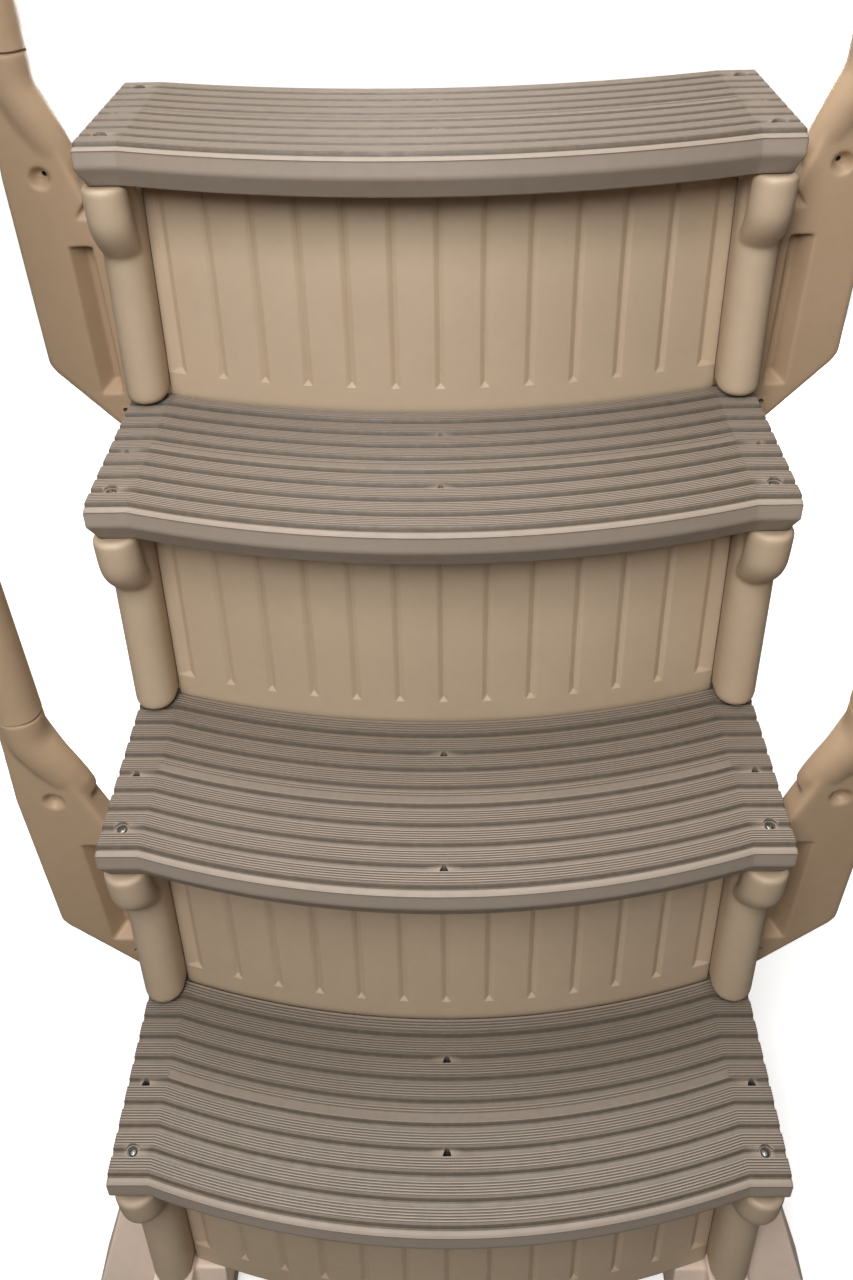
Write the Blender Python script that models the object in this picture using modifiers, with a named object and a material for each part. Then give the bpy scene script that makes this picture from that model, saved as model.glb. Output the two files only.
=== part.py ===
"""In-pool step ladder: bowed treads on moulded posts, with side panels and looped handrails.

Metres, +Z up. The origin is on the floor under the centre of the ladder's outline.
The steps climb towards +Y, where the pool wall is, and -Y is the side that people
climb from. Step 1 is the lowest. Every step is the same set of parts, moved by the
rise and the run.
"""

import math

import bmesh
import bpy
from mathutils import Vector

# Driving dimensions
STEPS = 4
RISE = 0.3035
RUN = 0.2166
LOWEST_TREAD_TOP = 0.412
LOWEST_LIP_Y = -0.4705
TREAD_WIDTH = 0.762
BEND_X = 0.3342
BOW_DEPTH = 0.0553
GAP = 0.0003

# Tread: distances are from the lip line and down from the top surface
TREAD_THICKNESS = 0.0445
NOSE_REACH = 0.012
NOSE_CHAMFER = 0.0025
NOSE_BOTTOM = 0.0245
SKIRT_INSET = 0.010
TREAD_BACK = 0.249
LEDGE_BACK = 0.268
LEDGE_DROP = 0.009
SCREW_X = 0.358
FRONT_SCREW_Y = 0.028
BACK_SCREW_Y = 0.225
SIDE_DRAIN = (0.360, 0.1124)
CENTRE_DRAINS_Y = (0.0843, 0.1967)
LOW_CENTRE_DRAINS_Y = (0.028, 0.1967)
LOW_DRAIN_STEP = 2
DRAIN_RADIUS = 0.0046
COUNTERBORE_RADIUS = 0.0078
COUNTERBORE_DEPTH = 0.0065

# Riser panel, leaning back towards the pool wall
RISER_HALF_WIDTH = 0.3332
RISER_THICKNESS = 0.016
RISER_FACE_Y = 0.0334
RISER_FOOT_DROP = 0.0085
LEAN = 0.14

# Post: it leans back with the riser and has a round front and flat sides. A round boss
# stands upright in front of its top, joined to it by a web
POST_X = 0.357
POST_Y = 0.017
POST_RADIUS = 0.023
POST_BACK_Y = 0.048
POST_FOOT_RADIUS = 0.010
BOSS_Y = 0.008
BOSS_RADIUS = 0.0245
BOSS_RIM = 0.0035
BOSS_LENGTH = 0.074
WEB_DROP = 0.055
WEB_TOP = (0.0215, 0.008, 0.053)
WEB_BOTTOM = (0.0195, 0.020, 0.045)
PILOT_RADIUS = 0.0030
PILOT_DEPTH = 0.028

# Side panel
PANEL_INNER_X = 0.3455
PANEL_OUTER_X = 0.3815
PANEL_FRONT_Y = 0.0865
PANEL_REAR_Y = 0.268
WINDOW_WIDTH = 0.110
WINDOW_SIDE_WALL = 0.0375
WINDOW_END_WALL = 0.042
WINDOW_CORNER = 0.030

# Rail bracket: a flat moulded plate that faces the climber, with a round neck on top.
# Its own heights are from its datum, which is its step's tread top plus the lift
BRACKET_INNER_X = 0.382
BRACKET_OUTER_X = 0.494
BRACKET_FRONT_Y = 0.074
BRACKET_DEPTH = 0.040
BRACKET_STEPS = {"lower": 2, "upper": 4}
BRACKET_LIFT = {"lower": 0.040, "upper": -0.008}
BRACKET_BOTTOM_Z = -0.397
BRACKET_KNEE_Z = -0.276
BRACKET_SHOULDER_Z = -0.050
BRACKET_HIP_Z = -0.141
BRACKET_SLANT_START = (0.4155, -0.040)
BRACKET_TOP_X = (0.4515, 0.4845)
RIDGE_BEND_Z = 0.045
RIDGE_MIDDLE = (0.446, 0.001, 0.005)
RIDGE_END = (0.424, 0.007, -0.045)
RIDGE_SCALES = (1, 1, 0.95, 0.7)
RECESS_X = (0.411, 0.434)
RECESS_Z = (-0.317, -0.128)
RECESS_DEPTH = 0.026
RECESS_CORNER = 0.003
DIMPLE = (0.449, -0.050)
DIMPLE_RADIUS = 0.013
DIMPLE_DEPTH = 0.006
CORNER_HOLE = (0.4115, -0.338)
CORNER_HOLE_RADIUS = 0.0035
NECK_X = 0.461
NECK_Y = 0.091
NECK_TOP = 0.078
NECK_ROOT = 0.012
TUBE_RADIUS = 0.025
SPIGOT_RADIUS = 0.0208
SPIGOT_LENGTH = 0.055
BRACKET_BOLT_Y = 0.0985
BRACKET_BOLTS_Z = (-0.100, -0.250)
BRACKET_BOLT_END_X = 0.4055
BOLT_HOLE_RADIUS = 0.0044

# Handrail
RAIL_TOP = 0.800
RAIL_SCREW_HEIGHT = 0.028
RAIL_SCREW_HOLE_RADIUS = 0.0024
SLEEVE_CLEARANCE = 0.0005

# Base legs: the front pair's faces slope forward to the floor
LEG_INNER_X = 0.293
LEG_OUTER_X = 0.481
LEG_SHOULDER_X = 0.3805
LEG_SHOULDER_Z = 0.292
LEG_SHOULDER_CHAMFER = (0.008, 0.004)
LEG_TIP_HEIGHT = 0.012
LEG_FRONT_HEAD_Y = 0.076
LEG_FRONT_BACK_Y = 0.086
LEG_REAR_Y = (0.2685, 0.300)
CROSSBAR_HEIGHT = 0.044
CROSSBAR_DEPTH = 0.024
CROSSBAR_INSET = 0.003
CROSSBAR_FLOOR_GAP = 0.003
REAR_STUB_TOP = 0.100
REAR_SHELF = 0.104
TOE_REACH = 0.008
TOE_SIDE = 0.004

# Deck bracket: an angle that slides up the rear edge of the side panel
DECK_HEIGHT_LOW = 1.219
DECK_PLATE = 0.005
DECK_FILLET = 0.004
DECK_WIDTH = 0.044
DECK_REACH = 0.090
DECK_DROP = 0.235
DECK_SLOT = (-0.225, -0.022)
DECK_SLOT_HALF_WIDTH = 0.0045
DECK_BOLTS_Z = (-0.0675, -0.0275)
DECK_SCREW_HOLES_Y = (0.035, 0.065)
DECK_SCREW_HOLE_RADIUS = 0.0032

# Fasteners: head radius, head height, shank radius, shank length
TREAD_SCREW = (0.0048, 0.0032, 0.0024, 0.060)
RAIL_SCREW = (0.0040, 0.0024, 0.0020, 0.016)
BRACKET_BOLT = (0.0065, 0.0048, 0.0040, 0.058)
DECK_BOLT = (0.0075, 0.0050, 0.0040, 0.030)

# How far a cutter runs past the faces that it cuts
OVERCUT = 0.010

SAND = (0.47, 0.365, 0.25)
TAUPE = (0.225, 0.19, 0.16)
STEEL = (0.62, 0.62, 0.62)

SIDES = {"left": -1, "right": 1}


def new_collection(name):
    collection = bpy.data.collections.new(name)
    bpy.context.scene.collection.children.link(collection)
    return collection


for leftover in list(bpy.data.objects):
    bpy.data.objects.remove(leftover, do_unlink=True)
PARTS = new_collection("pool_step_ladder")
CUTTERS = new_collection("cutters")


def make_material(name, colour, roughness, metallic):
    material = bpy.data.materials.new(name)
    material.use_nodes = True
    shader = material.node_tree.nodes["Principled BSDF"]
    shader.inputs["Base Color"].default_value = (*colour, 1.0)
    shader.inputs["Roughness"].default_value = roughness
    shader.inputs["Metallic"].default_value = metallic
    return material


SAND_PLASTIC = make_material("sand_plastic", SAND, 0.5, 0.0)
TAUPE_PLASTIC = make_material("taupe_plastic", TAUPE, 0.6, 0.0)
STAINLESS = make_material("stainless", STEEL, 0.3, 1.0)


def tread_top(step):
    return LOWEST_TREAD_TOP + RISE * (step - 1)


def lip_y(step):
    return LOWEST_LIP_Y + RUN * (step - 1)


def bow(x):
    """How far the tread's front, back and grooves run forward of their ends at x."""
    if abs(x) >= BEND_X:
        return 0.0
    return -BOW_DEPTH * (1 - (x / BEND_X) ** 2)


def add_object(name, mesh, collection, material=None, smooth_angle=0.6):
    obj = bpy.data.objects.new(name, mesh)
    collection.objects.link(obj)
    if collection == CUTTERS:
        obj.hide_render = True
        obj.display_type = "WIRE"
        return obj
    mesh.materials.clear()
    mesh.materials.append(material)
    mesh.shade_smooth()
    mesh.set_sharp_from_angle(angle=smooth_angle)
    return obj


def mesh_from(bm, name):
    bm.normal_update()
    bmesh.ops.recalc_face_normals(bm, faces=bm.faces)
    mesh = bpy.data.meshes.new(name)
    bm.to_mesh(mesh)
    bm.free()
    return mesh


def loft(name, rings):
    """A closed skin over rings of equal length, with a flat cap on each end."""
    bm = bmesh.new()
    loops = [[bm.verts.new(point) for point in ring] for ring in rings]
    for lower, upper in zip(loops, loops[1:]):
        for i, vertex in enumerate(lower):
            j = (i + 1) % len(lower)
            bm.faces.new((vertex, lower[j], upper[j], upper[i]))
    bm.faces.new(loops[0])
    bm.faces.new(loops[-1])
    return mesh_from(bm, name)


def prism(name, outline, axis, start, end):
    """A flat outline extruded along a world axis from start to end."""
    rings = []
    for at in (start, end):
        ring = [list(point) for point in outline]
        for point in ring:
            point.insert(axis, at)
        rings.append(ring)
    return loft(name, rings)


def add_rods(bm, rods, segments=12):
    """Adds a cylinder for each (start, end, radius) to the mesh being built."""
    for start, end, radius in rods:
        start, end = Vector(start), Vector(end)
        along = end - start
        made = bmesh.ops.create_cone(
            bm,
            cap_ends=True,
            segments=segments,
            radius1=radius,
            radius2=radius,
            depth=along.length,
        )
        turn = along.to_track_quat("Z", "Y")
        for vertex in made["verts"]:
            vertex.co = turn @ vertex.co + (start + end) / 2


def rods_mesh(name, rods, segments=12):
    bm = bmesh.new()
    add_rods(bm, rods, segments)
    return mesh_from(bm, name)


def boolean(obj, other, operation):
    modifier = obj.modifiers.new(operation.lower(), "BOOLEAN")
    modifier.operation = operation
    modifier.object = other


def drill(obj, rods, segments=12, suffix="_holes"):
    """Cuts a round hole for each (start, end, radius)."""
    name = obj.name + suffix
    boolean(obj, add_object(name, rods_mesh(name, rods, segments), CUTTERS), "DIFFERENCE")


def turned(name, profile, segments, at, collection):
    """A solid of revolution about +Z. The profile holds (radius, z), from top to bottom."""
    bm = bmesh.new()
    points = [bm.verts.new((radius, 0, z)) for radius, z in profile]
    for upper, lower in zip(points, points[1:]):
        bm.edges.new((upper, lower))
    mesh = bpy.data.meshes.new(name)
    bm.to_mesh(mesh)
    bm.free()
    obj = add_object(name, mesh, collection, STAINLESS)
    obj.location = at
    screw = obj.modifiers.new("screw", "SCREW")
    screw.steps = segments
    screw.render_steps = segments
    screw.use_merge_vertices = True
    screw.merge_threshold = 0.00005
    screw.use_smooth_shade = True
    return obj


def rounded_rectangle(centre, half_width, half_height, radius, steps=4):
    """The outline of a rounded rectangle, as (first axis, second axis) points."""
    points = []
    for corner in range(4):
        away_x = 1 if corner in (0, 3) else -1
        away_y = 1 if corner in (0, 1) else -1
        middle_x = centre[0] + away_x * (half_width - radius)
        middle_y = centre[1] + away_y * (half_height - radius)
        for step in range(steps + 1):
            angle = math.radians(90) * (corner + step / steps)
            points.append((middle_x + radius * math.cos(angle), middle_y + radius * math.sin(angle)))
    return points


def tread_section():
    """(y, z) round the tread's profile, from the top of the nose down and back up."""
    return [
        (-NOSE_REACH + NOSE_CHAMFER, 0.0),
        (-NOSE_REACH, -NOSE_CHAMFER),
        (-NOSE_REACH, -NOSE_BOTTOM),
        (-NOSE_REACH + SKIRT_INSET, -TREAD_THICKNESS),
        (LEDGE_BACK, -TREAD_THICKNESS),
        (LEDGE_BACK, -LEDGE_DROP),
        (TREAD_BACK, -LEDGE_DROP),
        (TREAD_BACK, 0.0),
    ]


def tread_stations():
    bowed = [BEND_X * (i / 7 - 1) for i in range(15)]
    return [-TREAD_WIDTH / 2, *bowed, TREAD_WIDTH / 2]


def make_tread(step):
    top, lip = tread_top(step), lip_y(step)
    rings = []
    for x in tread_stations():
        ring = []
        for y, z in tread_section():
            at_end = abs(x) > BEND_X + GAP
            inset = SKIRT_INSET if at_end and z < -NOSE_BOTTOM else 0.0
            ring.append((x - math.copysign(inset, x), lip + y + bow(x), top + z))
        rings.append(ring)
    name = f"tread_{step}"
    tread = add_object(name, loft(name, rings), PARTS, TAUPE_PLASTIC, 0.5)
    above, below = top + OVERCUT, top - TREAD_THICKNESS - OVERCUT
    screw_rows = [FRONT_SCREW_Y]
    if step == STEPS:
        screw_rows.append(BACK_SCREW_Y)
    rods = []
    for side in SIDES.values():
        for row in screw_rows:
            x, y = side * SCREW_X, lip + row
            rods.append(((x, y, below), (x, y, above), PILOT_RADIUS))
        drain_x, drain_y = side * SIDE_DRAIN[0], lip + SIDE_DRAIN[1]
        rods.append(((drain_x, drain_y, below), (drain_x, drain_y, above), DRAIN_RADIUS))
    drains = LOW_CENTRE_DRAINS_Y if step == LOW_DRAIN_STEP else CENTRE_DRAINS_Y
    for row in drains:
        y = lip + row + bow(0)
        rods.append(((0, y, below), (0, y, above), DRAIN_RADIUS))
    drill(tread, rods)
    seats = []
    for side in SIDES.values():
        for row in screw_rows:
            x, y = side * SCREW_X, lip + row
            seats.append(((x, y, top - COUNTERBORE_DEPTH), (x, y, above), COUNTERBORE_RADIUS))
    drill(tread, seats, 16, "_seats")


def make_riser(step):
    """The curved panel that closes the gap under a tread, leaning back at its top."""
    high = tread_top(step) - TREAD_THICKNESS - GAP
    low = tread_top(step) - RISE - RISER_FOOT_DROP
    foot_y = lip_y(step) + RISER_FACE_Y
    head_y = foot_y + LEAN * (high - low)
    rings = []
    for i in range(15):
        x = RISER_HALF_WIDTH * (i / 7 - 1)
        rings.append([
            (x, head_y + bow(x), high),
            (x, foot_y + bow(x), low),
            (x, foot_y + bow(x) + RISER_THICKNESS, low),
            (x, head_y + bow(x) + RISER_THICKNESS, high),
        ])
    name = f"riser_panel_{step}"
    add_object(name, loft(name, rings), PARTS, SAND_PLASTIC, 0.5)


def post_ring(side, step, z, inset):
    """One level of a post: a half circle in front and flat sides back to the riser."""
    foot = tread_top(step) - RISE
    leaned_lip = lip_y(step) + LEAN * (z - foot)
    radius = POST_RADIUS - inset
    back = leaned_lip + POST_BACK_Y - inset
    centre_x, centre_y = side * POST_X, leaned_lip + POST_Y
    points = [(centre_x + radius, back, z)]
    for i in range(9):
        angle = math.pi * i / 8
        points.append((centre_x + radius * math.cos(angle), centre_y - radius * math.sin(angle), z))
    points.append((centre_x - radius, back, z))
    return points


def make_post(side_name, step):
    side = SIDES[side_name]
    name = f"post_{side_name}_{step}"
    top = tread_top(step) - TREAD_THICKNESS - GAP
    foot = tread_top(step) - RISE + GAP
    rings = [post_ring(side, step, top, 0.0)]
    for i in range(4):
        angle = math.radians(90) * i / 3
        rise = POST_FOOT_RADIUS * (1 - math.sin(angle))
        rings.append(post_ring(side, step, foot + rise, POST_FOOT_RADIUS * (1 - math.cos(angle))))
    post = add_object(name, loft(name, rings), PARTS, SAND_PLASTIC, 0.7)
    ball = BOSS_LENGTH - BOSS_RADIUS
    profile = [(0.0, 0.0), (BOSS_RADIUS - BOSS_RIM, 0.0), (BOSS_RADIUS, -BOSS_RIM)]
    for i in range(5):
        angle = math.radians(90) * i / 4
        profile.append((BOSS_RADIUS * math.cos(angle), -ball - BOSS_RADIUS * math.sin(angle)))
    profile[-1] = (0.0, -BOSS_LENGTH)
    boss_at = (side * POST_X, lip_y(step) + BOSS_Y, top)
    boss = turned(name + "_boss", profile, 16, boss_at, CUTTERS)
    boolean(post, boss, "UNION")
    web_rings = []
    for z, (half, front, back) in ((top, WEB_TOP), (top - WEB_DROP, WEB_BOTTOM)):
        web_rings.append([
            (side * POST_X + across, lip_y(step) + along, z)
            for across, along in ((-half, front), (half, front), (half, back), (-half, back))
        ])
    boolean(post, add_object(name + "_web", loft(name + "_web", web_rings), CUTTERS), "UNION")
    x, y = side * SCREW_X, lip_y(step) + FRONT_SCREW_Y
    drill(post, [((x, y, top - PILOT_DEPTH), (x, y, top + OVERCUT), PILOT_RADIUS)])


def make_side_panel(side_name):
    """The stepped board that carries one end of every tread, with flow-through windows."""
    side = SIDES[side_name]
    rear = lip_y(STEPS) + PANEL_REAR_Y
    outline = [(rear, 0.0)]
    outline.append((rear, tread_top(STEPS) - TREAD_THICKNESS - GAP))
    for step in range(STEPS, 0, -1):
        front = lip_y(step) + PANEL_FRONT_Y
        outline.append((front, tread_top(step) - TREAD_THICKNESS - GAP))
        under = tread_top(step - 1) - TREAD_THICKNESS - GAP if step > 1 else 0.0
        outline.append((front, under))
    name = f"side_panel_{side_name}"
    edges = (side * PANEL_INNER_X, side * PANEL_OUTER_X)
    panel = add_object(name, prism(name, outline, 0, *edges), PARTS, SAND_PLASTIC, 0.5)
    inner, outer = side * (PANEL_INNER_X - OVERCUT), side * (PANEL_OUTER_X + OVERCUT)
    cutter = bmesh.new()
    for step in range(1, STEPS + 1):
        high = tread_top(step) - TREAD_THICKNESS - WINDOW_END_WALL
        low = max(high - RISE + 2 * WINDOW_SIDE_WALL, WINDOW_END_WALL)
        for column in range(step, STEPS + 1):
            middle_y = lip_y(column) + PANEL_FRONT_Y + WINDOW_SIDE_WALL + WINDOW_WIDTH / 2
            centre = (middle_y, (high + low) / 2)
            window = rounded_rectangle(centre, WINDOW_WIDTH / 2, (high - low) / 2, WINDOW_CORNER)
            hole = prism(name, window, 0, inner, outer)
            cutter.from_mesh(hole)
            bpy.data.meshes.remove(hole)
    windows = add_object(name + "_windows", mesh_from(cutter, name + "_windows"), CUTTERS)
    boolean(panel, windows, "DIFFERENCE")
    rods = []
    for step, lift in bracket_places():
        for bolt_z in BRACKET_BOLTS_Z:
            y, z = lip_y(step) + BRACKET_BOLT_Y, tread_top(step) + lift + bolt_z
            rods.append(((inner, y, z), (outer, y, z), BOLT_HOLE_RADIUS))
    x, y = side * SCREW_X, lip_y(STEPS) + BACK_SCREW_Y
    top = tread_top(STEPS) - TREAD_THICKNESS
    rods.append(((x, y, top - PILOT_DEPTH), (x, y, top + OVERCUT), PILOT_RADIUS))
    middle_x = side * (PANEL_INNER_X + PANEL_OUTER_X) / 2
    for bolt_z in DECK_BOLTS_Z:
        z = DECK_HEIGHT_LOW + bolt_z
        start = rear - DECK_BOLT[3]
        rods.append(((middle_x, start, z), (middle_x, rear + OVERCUT, z), BOLT_HOLE_RADIUS))
    drill(panel, rods)


def bracket_places():
    return [(BRACKET_STEPS[level], BRACKET_LIFT[level]) for level in BRACKET_STEPS]


def tube_mesh(name, points, radius, scales, sides_resolution):
    """A mesh of a round bar along points, with its radius scaled at each point."""
    curve = bpy.data.curves.new(name, "CURVE")
    curve.dimensions = "3D"
    curve.bevel_depth = radius
    curve.bevel_resolution = sides_resolution
    curve.use_fill_caps = True
    spline = curve.splines.new("POLY")
    spline.points.add(len(points) - 1)
    for point, place, scale in zip(spline.points, points, scales):
        point.co = (*place, 1)
        point.radius = scale
    guide = bpy.data.objects.new(name + "_guide", curve)
    CUTTERS.objects.link(guide)
    graph = bpy.context.evaluated_depsgraph_get()
    bm = bmesh.new()
    mesh = bpy.data.meshes.new_from_object(guide.evaluated_get(graph))
    bm.from_mesh(mesh)
    bpy.data.objects.remove(guide, do_unlink=True)
    bpy.data.meshes.remove(mesh)
    bmesh.ops.remove_doubles(bm, verts=bm.verts, dist=0.00001)
    return mesh_from(bm, name)


def make_bracket(side_name, level):
    side = SIDES[side_name]
    step = BRACKET_STEPS[level]
    lip, top = lip_y(step), tread_top(step) + BRACKET_LIFT[level]
    outline = [
        (BRACKET_TOP_X[1], NECK_TOP - NECK_ROOT),
        (BRACKET_OUTER_X, BRACKET_SHOULDER_Z),
        (BRACKET_OUTER_X, BRACKET_KNEE_Z),
        (BRACKET_OUTER_X - 0.006, BRACKET_KNEE_Z - 0.011),
        (BRACKET_INNER_X + 0.008, BRACKET_BOTTOM_Z),
        (BRACKET_INNER_X, BRACKET_BOTTOM_Z + 0.004),
        (BRACKET_INNER_X, BRACKET_HIP_Z),
        BRACKET_SLANT_START,
        (BRACKET_TOP_X[0], NECK_TOP - NECK_ROOT),
    ]
    name = f"rail_bracket_{level}_{side_name}"
    placed = [(side * x, top + z) for x, z in outline]
    front, back = lip + BRACKET_FRONT_Y, lip + BRACKET_FRONT_Y + BRACKET_DEPTH
    plate = prism(name, placed, 1, front, back)
    bracket = add_object(name, plate, PARTS, SAND_PLASTIC, 0.6)
    ridge = []
    for x, y, z in (
        (NECK_X, 0.0, NECK_TOP), (NECK_X, 0.0, RIDGE_BEND_Z), RIDGE_MIDDLE, RIDGE_END
    ):
        ridge.append((side * x, lip + NECK_Y + y, top + z))
    neck = tube_mesh(name + "_neck", ridge, TUBE_RADIUS, RIDGE_SCALES, 6)
    boolean(bracket, add_object(name + "_neck", neck, CUTTERS), "UNION")
    seam = top + NECK_TOP
    centre = (side * NECK_X, lip + NECK_Y)
    spigot = rods_mesh(name + "_spigot", [
        ((*centre, seam - 0.02), (*centre, seam + SPIGOT_LENGTH), SPIGOT_RADIUS)
    ], 16)
    boolean(bracket, add_object(name + "_spigot", spigot, CUTTERS), "UNION")
    middle = (side * sum(RECESS_X) / 2, top + sum(RECESS_Z) / 2)
    mouth = rounded_rectangle(
        middle, (RECESS_X[1] - RECESS_X[0]) / 2, (RECESS_Z[1] - RECESS_Z[0]) / 2, RECESS_CORNER, 1
    )
    recess = prism(name + "_recess", mouth, 1, front - OVERCUT, front + RECESS_DEPTH)
    boolean(bracket, add_object(name + "_recess", recess, CUTTERS), "DIFFERENCE")
    dimple_x, dimple_z = side * DIMPLE[0], top + DIMPLE[1]
    screw_z = seam + RAIL_SCREW_HEIGHT
    hole_x, hole_z = side * CORNER_HOLE[0], top + CORNER_HOLE[1]
    rods = [
        ((dimple_x, front - OVERCUT, dimple_z), (dimple_x, front + DIMPLE_DEPTH, dimple_z), DIMPLE_RADIUS),
        ((hole_x, front - OVERCUT, hole_z), (hole_x, back + OVERCUT, hole_z), CORNER_HOLE_RADIUS),
        ((*centre, screw_z), (centre[0], centre[1] + 0.03, screw_z), RAIL_SCREW_HOLE_RADIUS),
    ]
    for bolt_z in BRACKET_BOLTS_Z:
        y, z = lip + BRACKET_BOLT_Y, top + bolt_z
        start, end = side * (BRACKET_INNER_X - OVERCUT), side * BRACKET_BOLT_END_X
        rods.append(((start, y, z), (end, y, z), BOLT_HOLE_RADIUS))
    drill(bracket, rods)


def handrail_path(side):
    """The rail's centre line: up from the lower bracket, over, and down to the upper one."""
    x = side * NECK_X
    front_y = lip_y(BRACKET_STEPS["lower"]) + NECK_Y
    back_y = lip_y(BRACKET_STEPS["upper"]) + NECK_Y
    radius = (back_y - front_y) / 2
    arch_z = tread_top(STEPS) + RAIL_TOP - radius
    feet = [tread_top(step) + lift + NECK_TOP + GAP for step, lift in bracket_places()]
    points = [(x, front_y, feet[0])]
    middle_y = (front_y + back_y) / 2
    for i in range(13):
        angle = math.pi * (1 - i / 12)
        points.append((x, middle_y + radius * math.cos(angle), arch_z + radius * math.sin(angle)))
    points.append((x, back_y, feet[1]))
    return points


def make_handrail(side_name):
    side = SIDES[side_name]
    path = handrail_path(side)
    name = f"handrail_{side_name}"
    tube = tube_mesh(name, path, TUBE_RADIUS, [1] * len(path), 6)
    rail = add_object(name, tube, PARTS, SAND_PLASTIC)
    bores = []
    screw_holes = []
    for x, y, z in (path[0], path[-1]):
        bore_end = z + SPIGOT_LENGTH + 0.003
        bores.append(((x, y, z - OVERCUT), (x, y, bore_end), SPIGOT_RADIUS + SLEEVE_CLEARANCE))
        screw_z = z - GAP + RAIL_SCREW_HEIGHT
        wall_end = y + TUBE_RADIUS + OVERCUT
        screw_holes.append(((x, y + 0.01, screw_z), (x, wall_end, screw_z), RAIL_SCREW_HOLE_RADIUS))
    drill(rail, bores, 16)
    drill(rail, screw_holes, suffix="_screw_holes")


def make_screw(name, seat, direction, size):
    """A fastener whose head rests at seat and whose shank runs the other way."""
    head_radius, head_height, shank_radius, shank_length = size
    profile = [
        (0.0, head_height),
        (head_radius * 0.75, head_height),
        (head_radius, head_height * 0.55),
        (head_radius, 0.0),
        (shank_radius, 0.0),
        (shank_radius, -shank_length + shank_radius),
        (0.0, -shank_length),
    ]
    screw = turned(name, profile, 12, seat, PARTS)
    screw.rotation_mode = "QUATERNION"
    screw.rotation_quaternion = Vector(direction).to_track_quat("Z", "Y")


def make_tread_screws():
    for step in range(1, STEPS + 1):
        for side_name, side in SIDES.items():
            seat_z = tread_top(step) - COUNTERBORE_DEPTH + GAP
            seat = (side * SCREW_X, lip_y(step) + FRONT_SCREW_Y, seat_z)
            make_screw(f"tread_screw_front_{side_name}_{step}", seat, (0, 0, 1), TREAD_SCREW)
    for side_name, side in SIDES.items():
        seat_z = tread_top(STEPS) - COUNTERBORE_DEPTH + GAP
        seat = (side * SCREW_X, lip_y(STEPS) + BACK_SCREW_Y, seat_z)
        make_screw(f"tread_screw_back_{side_name}", seat, (0, 0, 1), TREAD_SCREW)


def make_bracket_bolts():
    for side_name, side in SIDES.items():
        for level, step in BRACKET_STEPS.items():
            for place, bolt_z in zip(("high", "low"), BRACKET_BOLTS_Z):
                z = tread_top(step) + BRACKET_LIFT[level] + bolt_z
                seat = (side * (PANEL_INNER_X - GAP), lip_y(step) + BRACKET_BOLT_Y, z)
                name = f"bracket_bolt_{level}_{side_name}_{place}"
                make_screw(name, seat, (-side, 0, 0), BRACKET_BOLT)


def make_rail_screws():
    for side_name, side in SIDES.items():
        for level, step in BRACKET_STEPS.items():
            z = tread_top(step) + BRACKET_LIFT[level] + NECK_TOP + RAIL_SCREW_HEIGHT
            seat = (side * NECK_X, lip_y(step) + NECK_Y + TUBE_RADIUS + GAP, z)
            make_screw(f"rail_screw_{level}_{side_name}", seat, (0, 1, 0), RAIL_SCREW)


def leg_outline(side, inner_x, under_riser, under_post):
    """(x, z) of a leg: an inner stub and a wing that flares out to the floor."""
    riser_end = RISER_HALF_WIDTH + GAP
    points = [
        (LEG_INNER_X, 0.0),
        (LEG_INNER_X, under_riser),
        (riser_end, under_riser),
        (riser_end, under_post),
        (inner_x, under_post),
        (inner_x, LEG_SHOULDER_Z),
        (inner_x + LEG_SHOULDER_CHAMFER[0], LEG_SHOULDER_Z + LEG_SHOULDER_CHAMFER[1]),
        (LEG_OUTER_X, LEG_TIP_HEIGHT),
        (LEG_OUTER_X, 0.0),
    ]
    return [(side * x, z) for x, z in points]


def make_front_leg(side_name):
    side = SIDES[side_name]
    lip = lip_y(1)
    post_foot = tread_top(1) - RISE - GAP
    riser_foot = tread_top(1) - RISE - RISER_FOOT_DROP - GAP
    name = f"base_leg_front_{side_name}"
    outline = leg_outline(side, LEG_SHOULDER_X, riser_foot, post_foot)
    front, back = lip - TOE_REACH, lip + LEG_FRONT_BACK_Y
    leg = add_object(name, prism(name, outline, 1, front, back), PARTS, SAND_PLASTIC)
    slope = (lip + LEG_FRONT_HEAD_Y - front) / (LEG_SHOULDER_Z + LEG_SHOULDER_CHAMFER[1])
    low, high = -OVERCUT, LEG_SHOULDER_Z + 2 * OVERCUT
    ahead = front - 2 * OVERCUT
    wedge = [(ahead, low), (front + slope * low, low), (front + slope * high, high), (ahead, high)]
    ends = (side * (LEG_INNER_X - OVERCUT), side * (LEG_OUTER_X + OVERCUT))
    slant = prism(name + "_slant", wedge, 0, *ends)
    boolean(leg, add_object(name + "_slant", slant, CUTTERS), "DIFFERENCE")
    toe_inner = side * (RISER_HALF_WIDTH + 2 * GAP)
    toe_outer = side * (LEG_SHOULDER_X + TOE_SIDE)
    toe_back = back - TOE_REACH
    toe_outline = [
        (toe_inner, front),
        (toe_inner, toe_back),
        (toe_outer, toe_back),
        (toe_outer, front),
    ]
    toe = prism(name + "_toe", toe_outline, 2, 0.0, post_foot - GAP)
    boolean(leg, add_object(name + "_toe", toe, CUTTERS), "UNION")


def make_rear_leg(side_name):
    side = SIDES[side_name]
    lip = lip_y(STEPS)
    name = f"base_leg_rear_{side_name}"
    outline = leg_outline(side, PANEL_INNER_X, REAR_STUB_TOP, REAR_SHELF)
    front, back = (lip + y for y in LEG_REAR_Y)
    add_object(name, prism(name, outline, 1, front, back), PARTS, SAND_PLASTIC)


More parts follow.
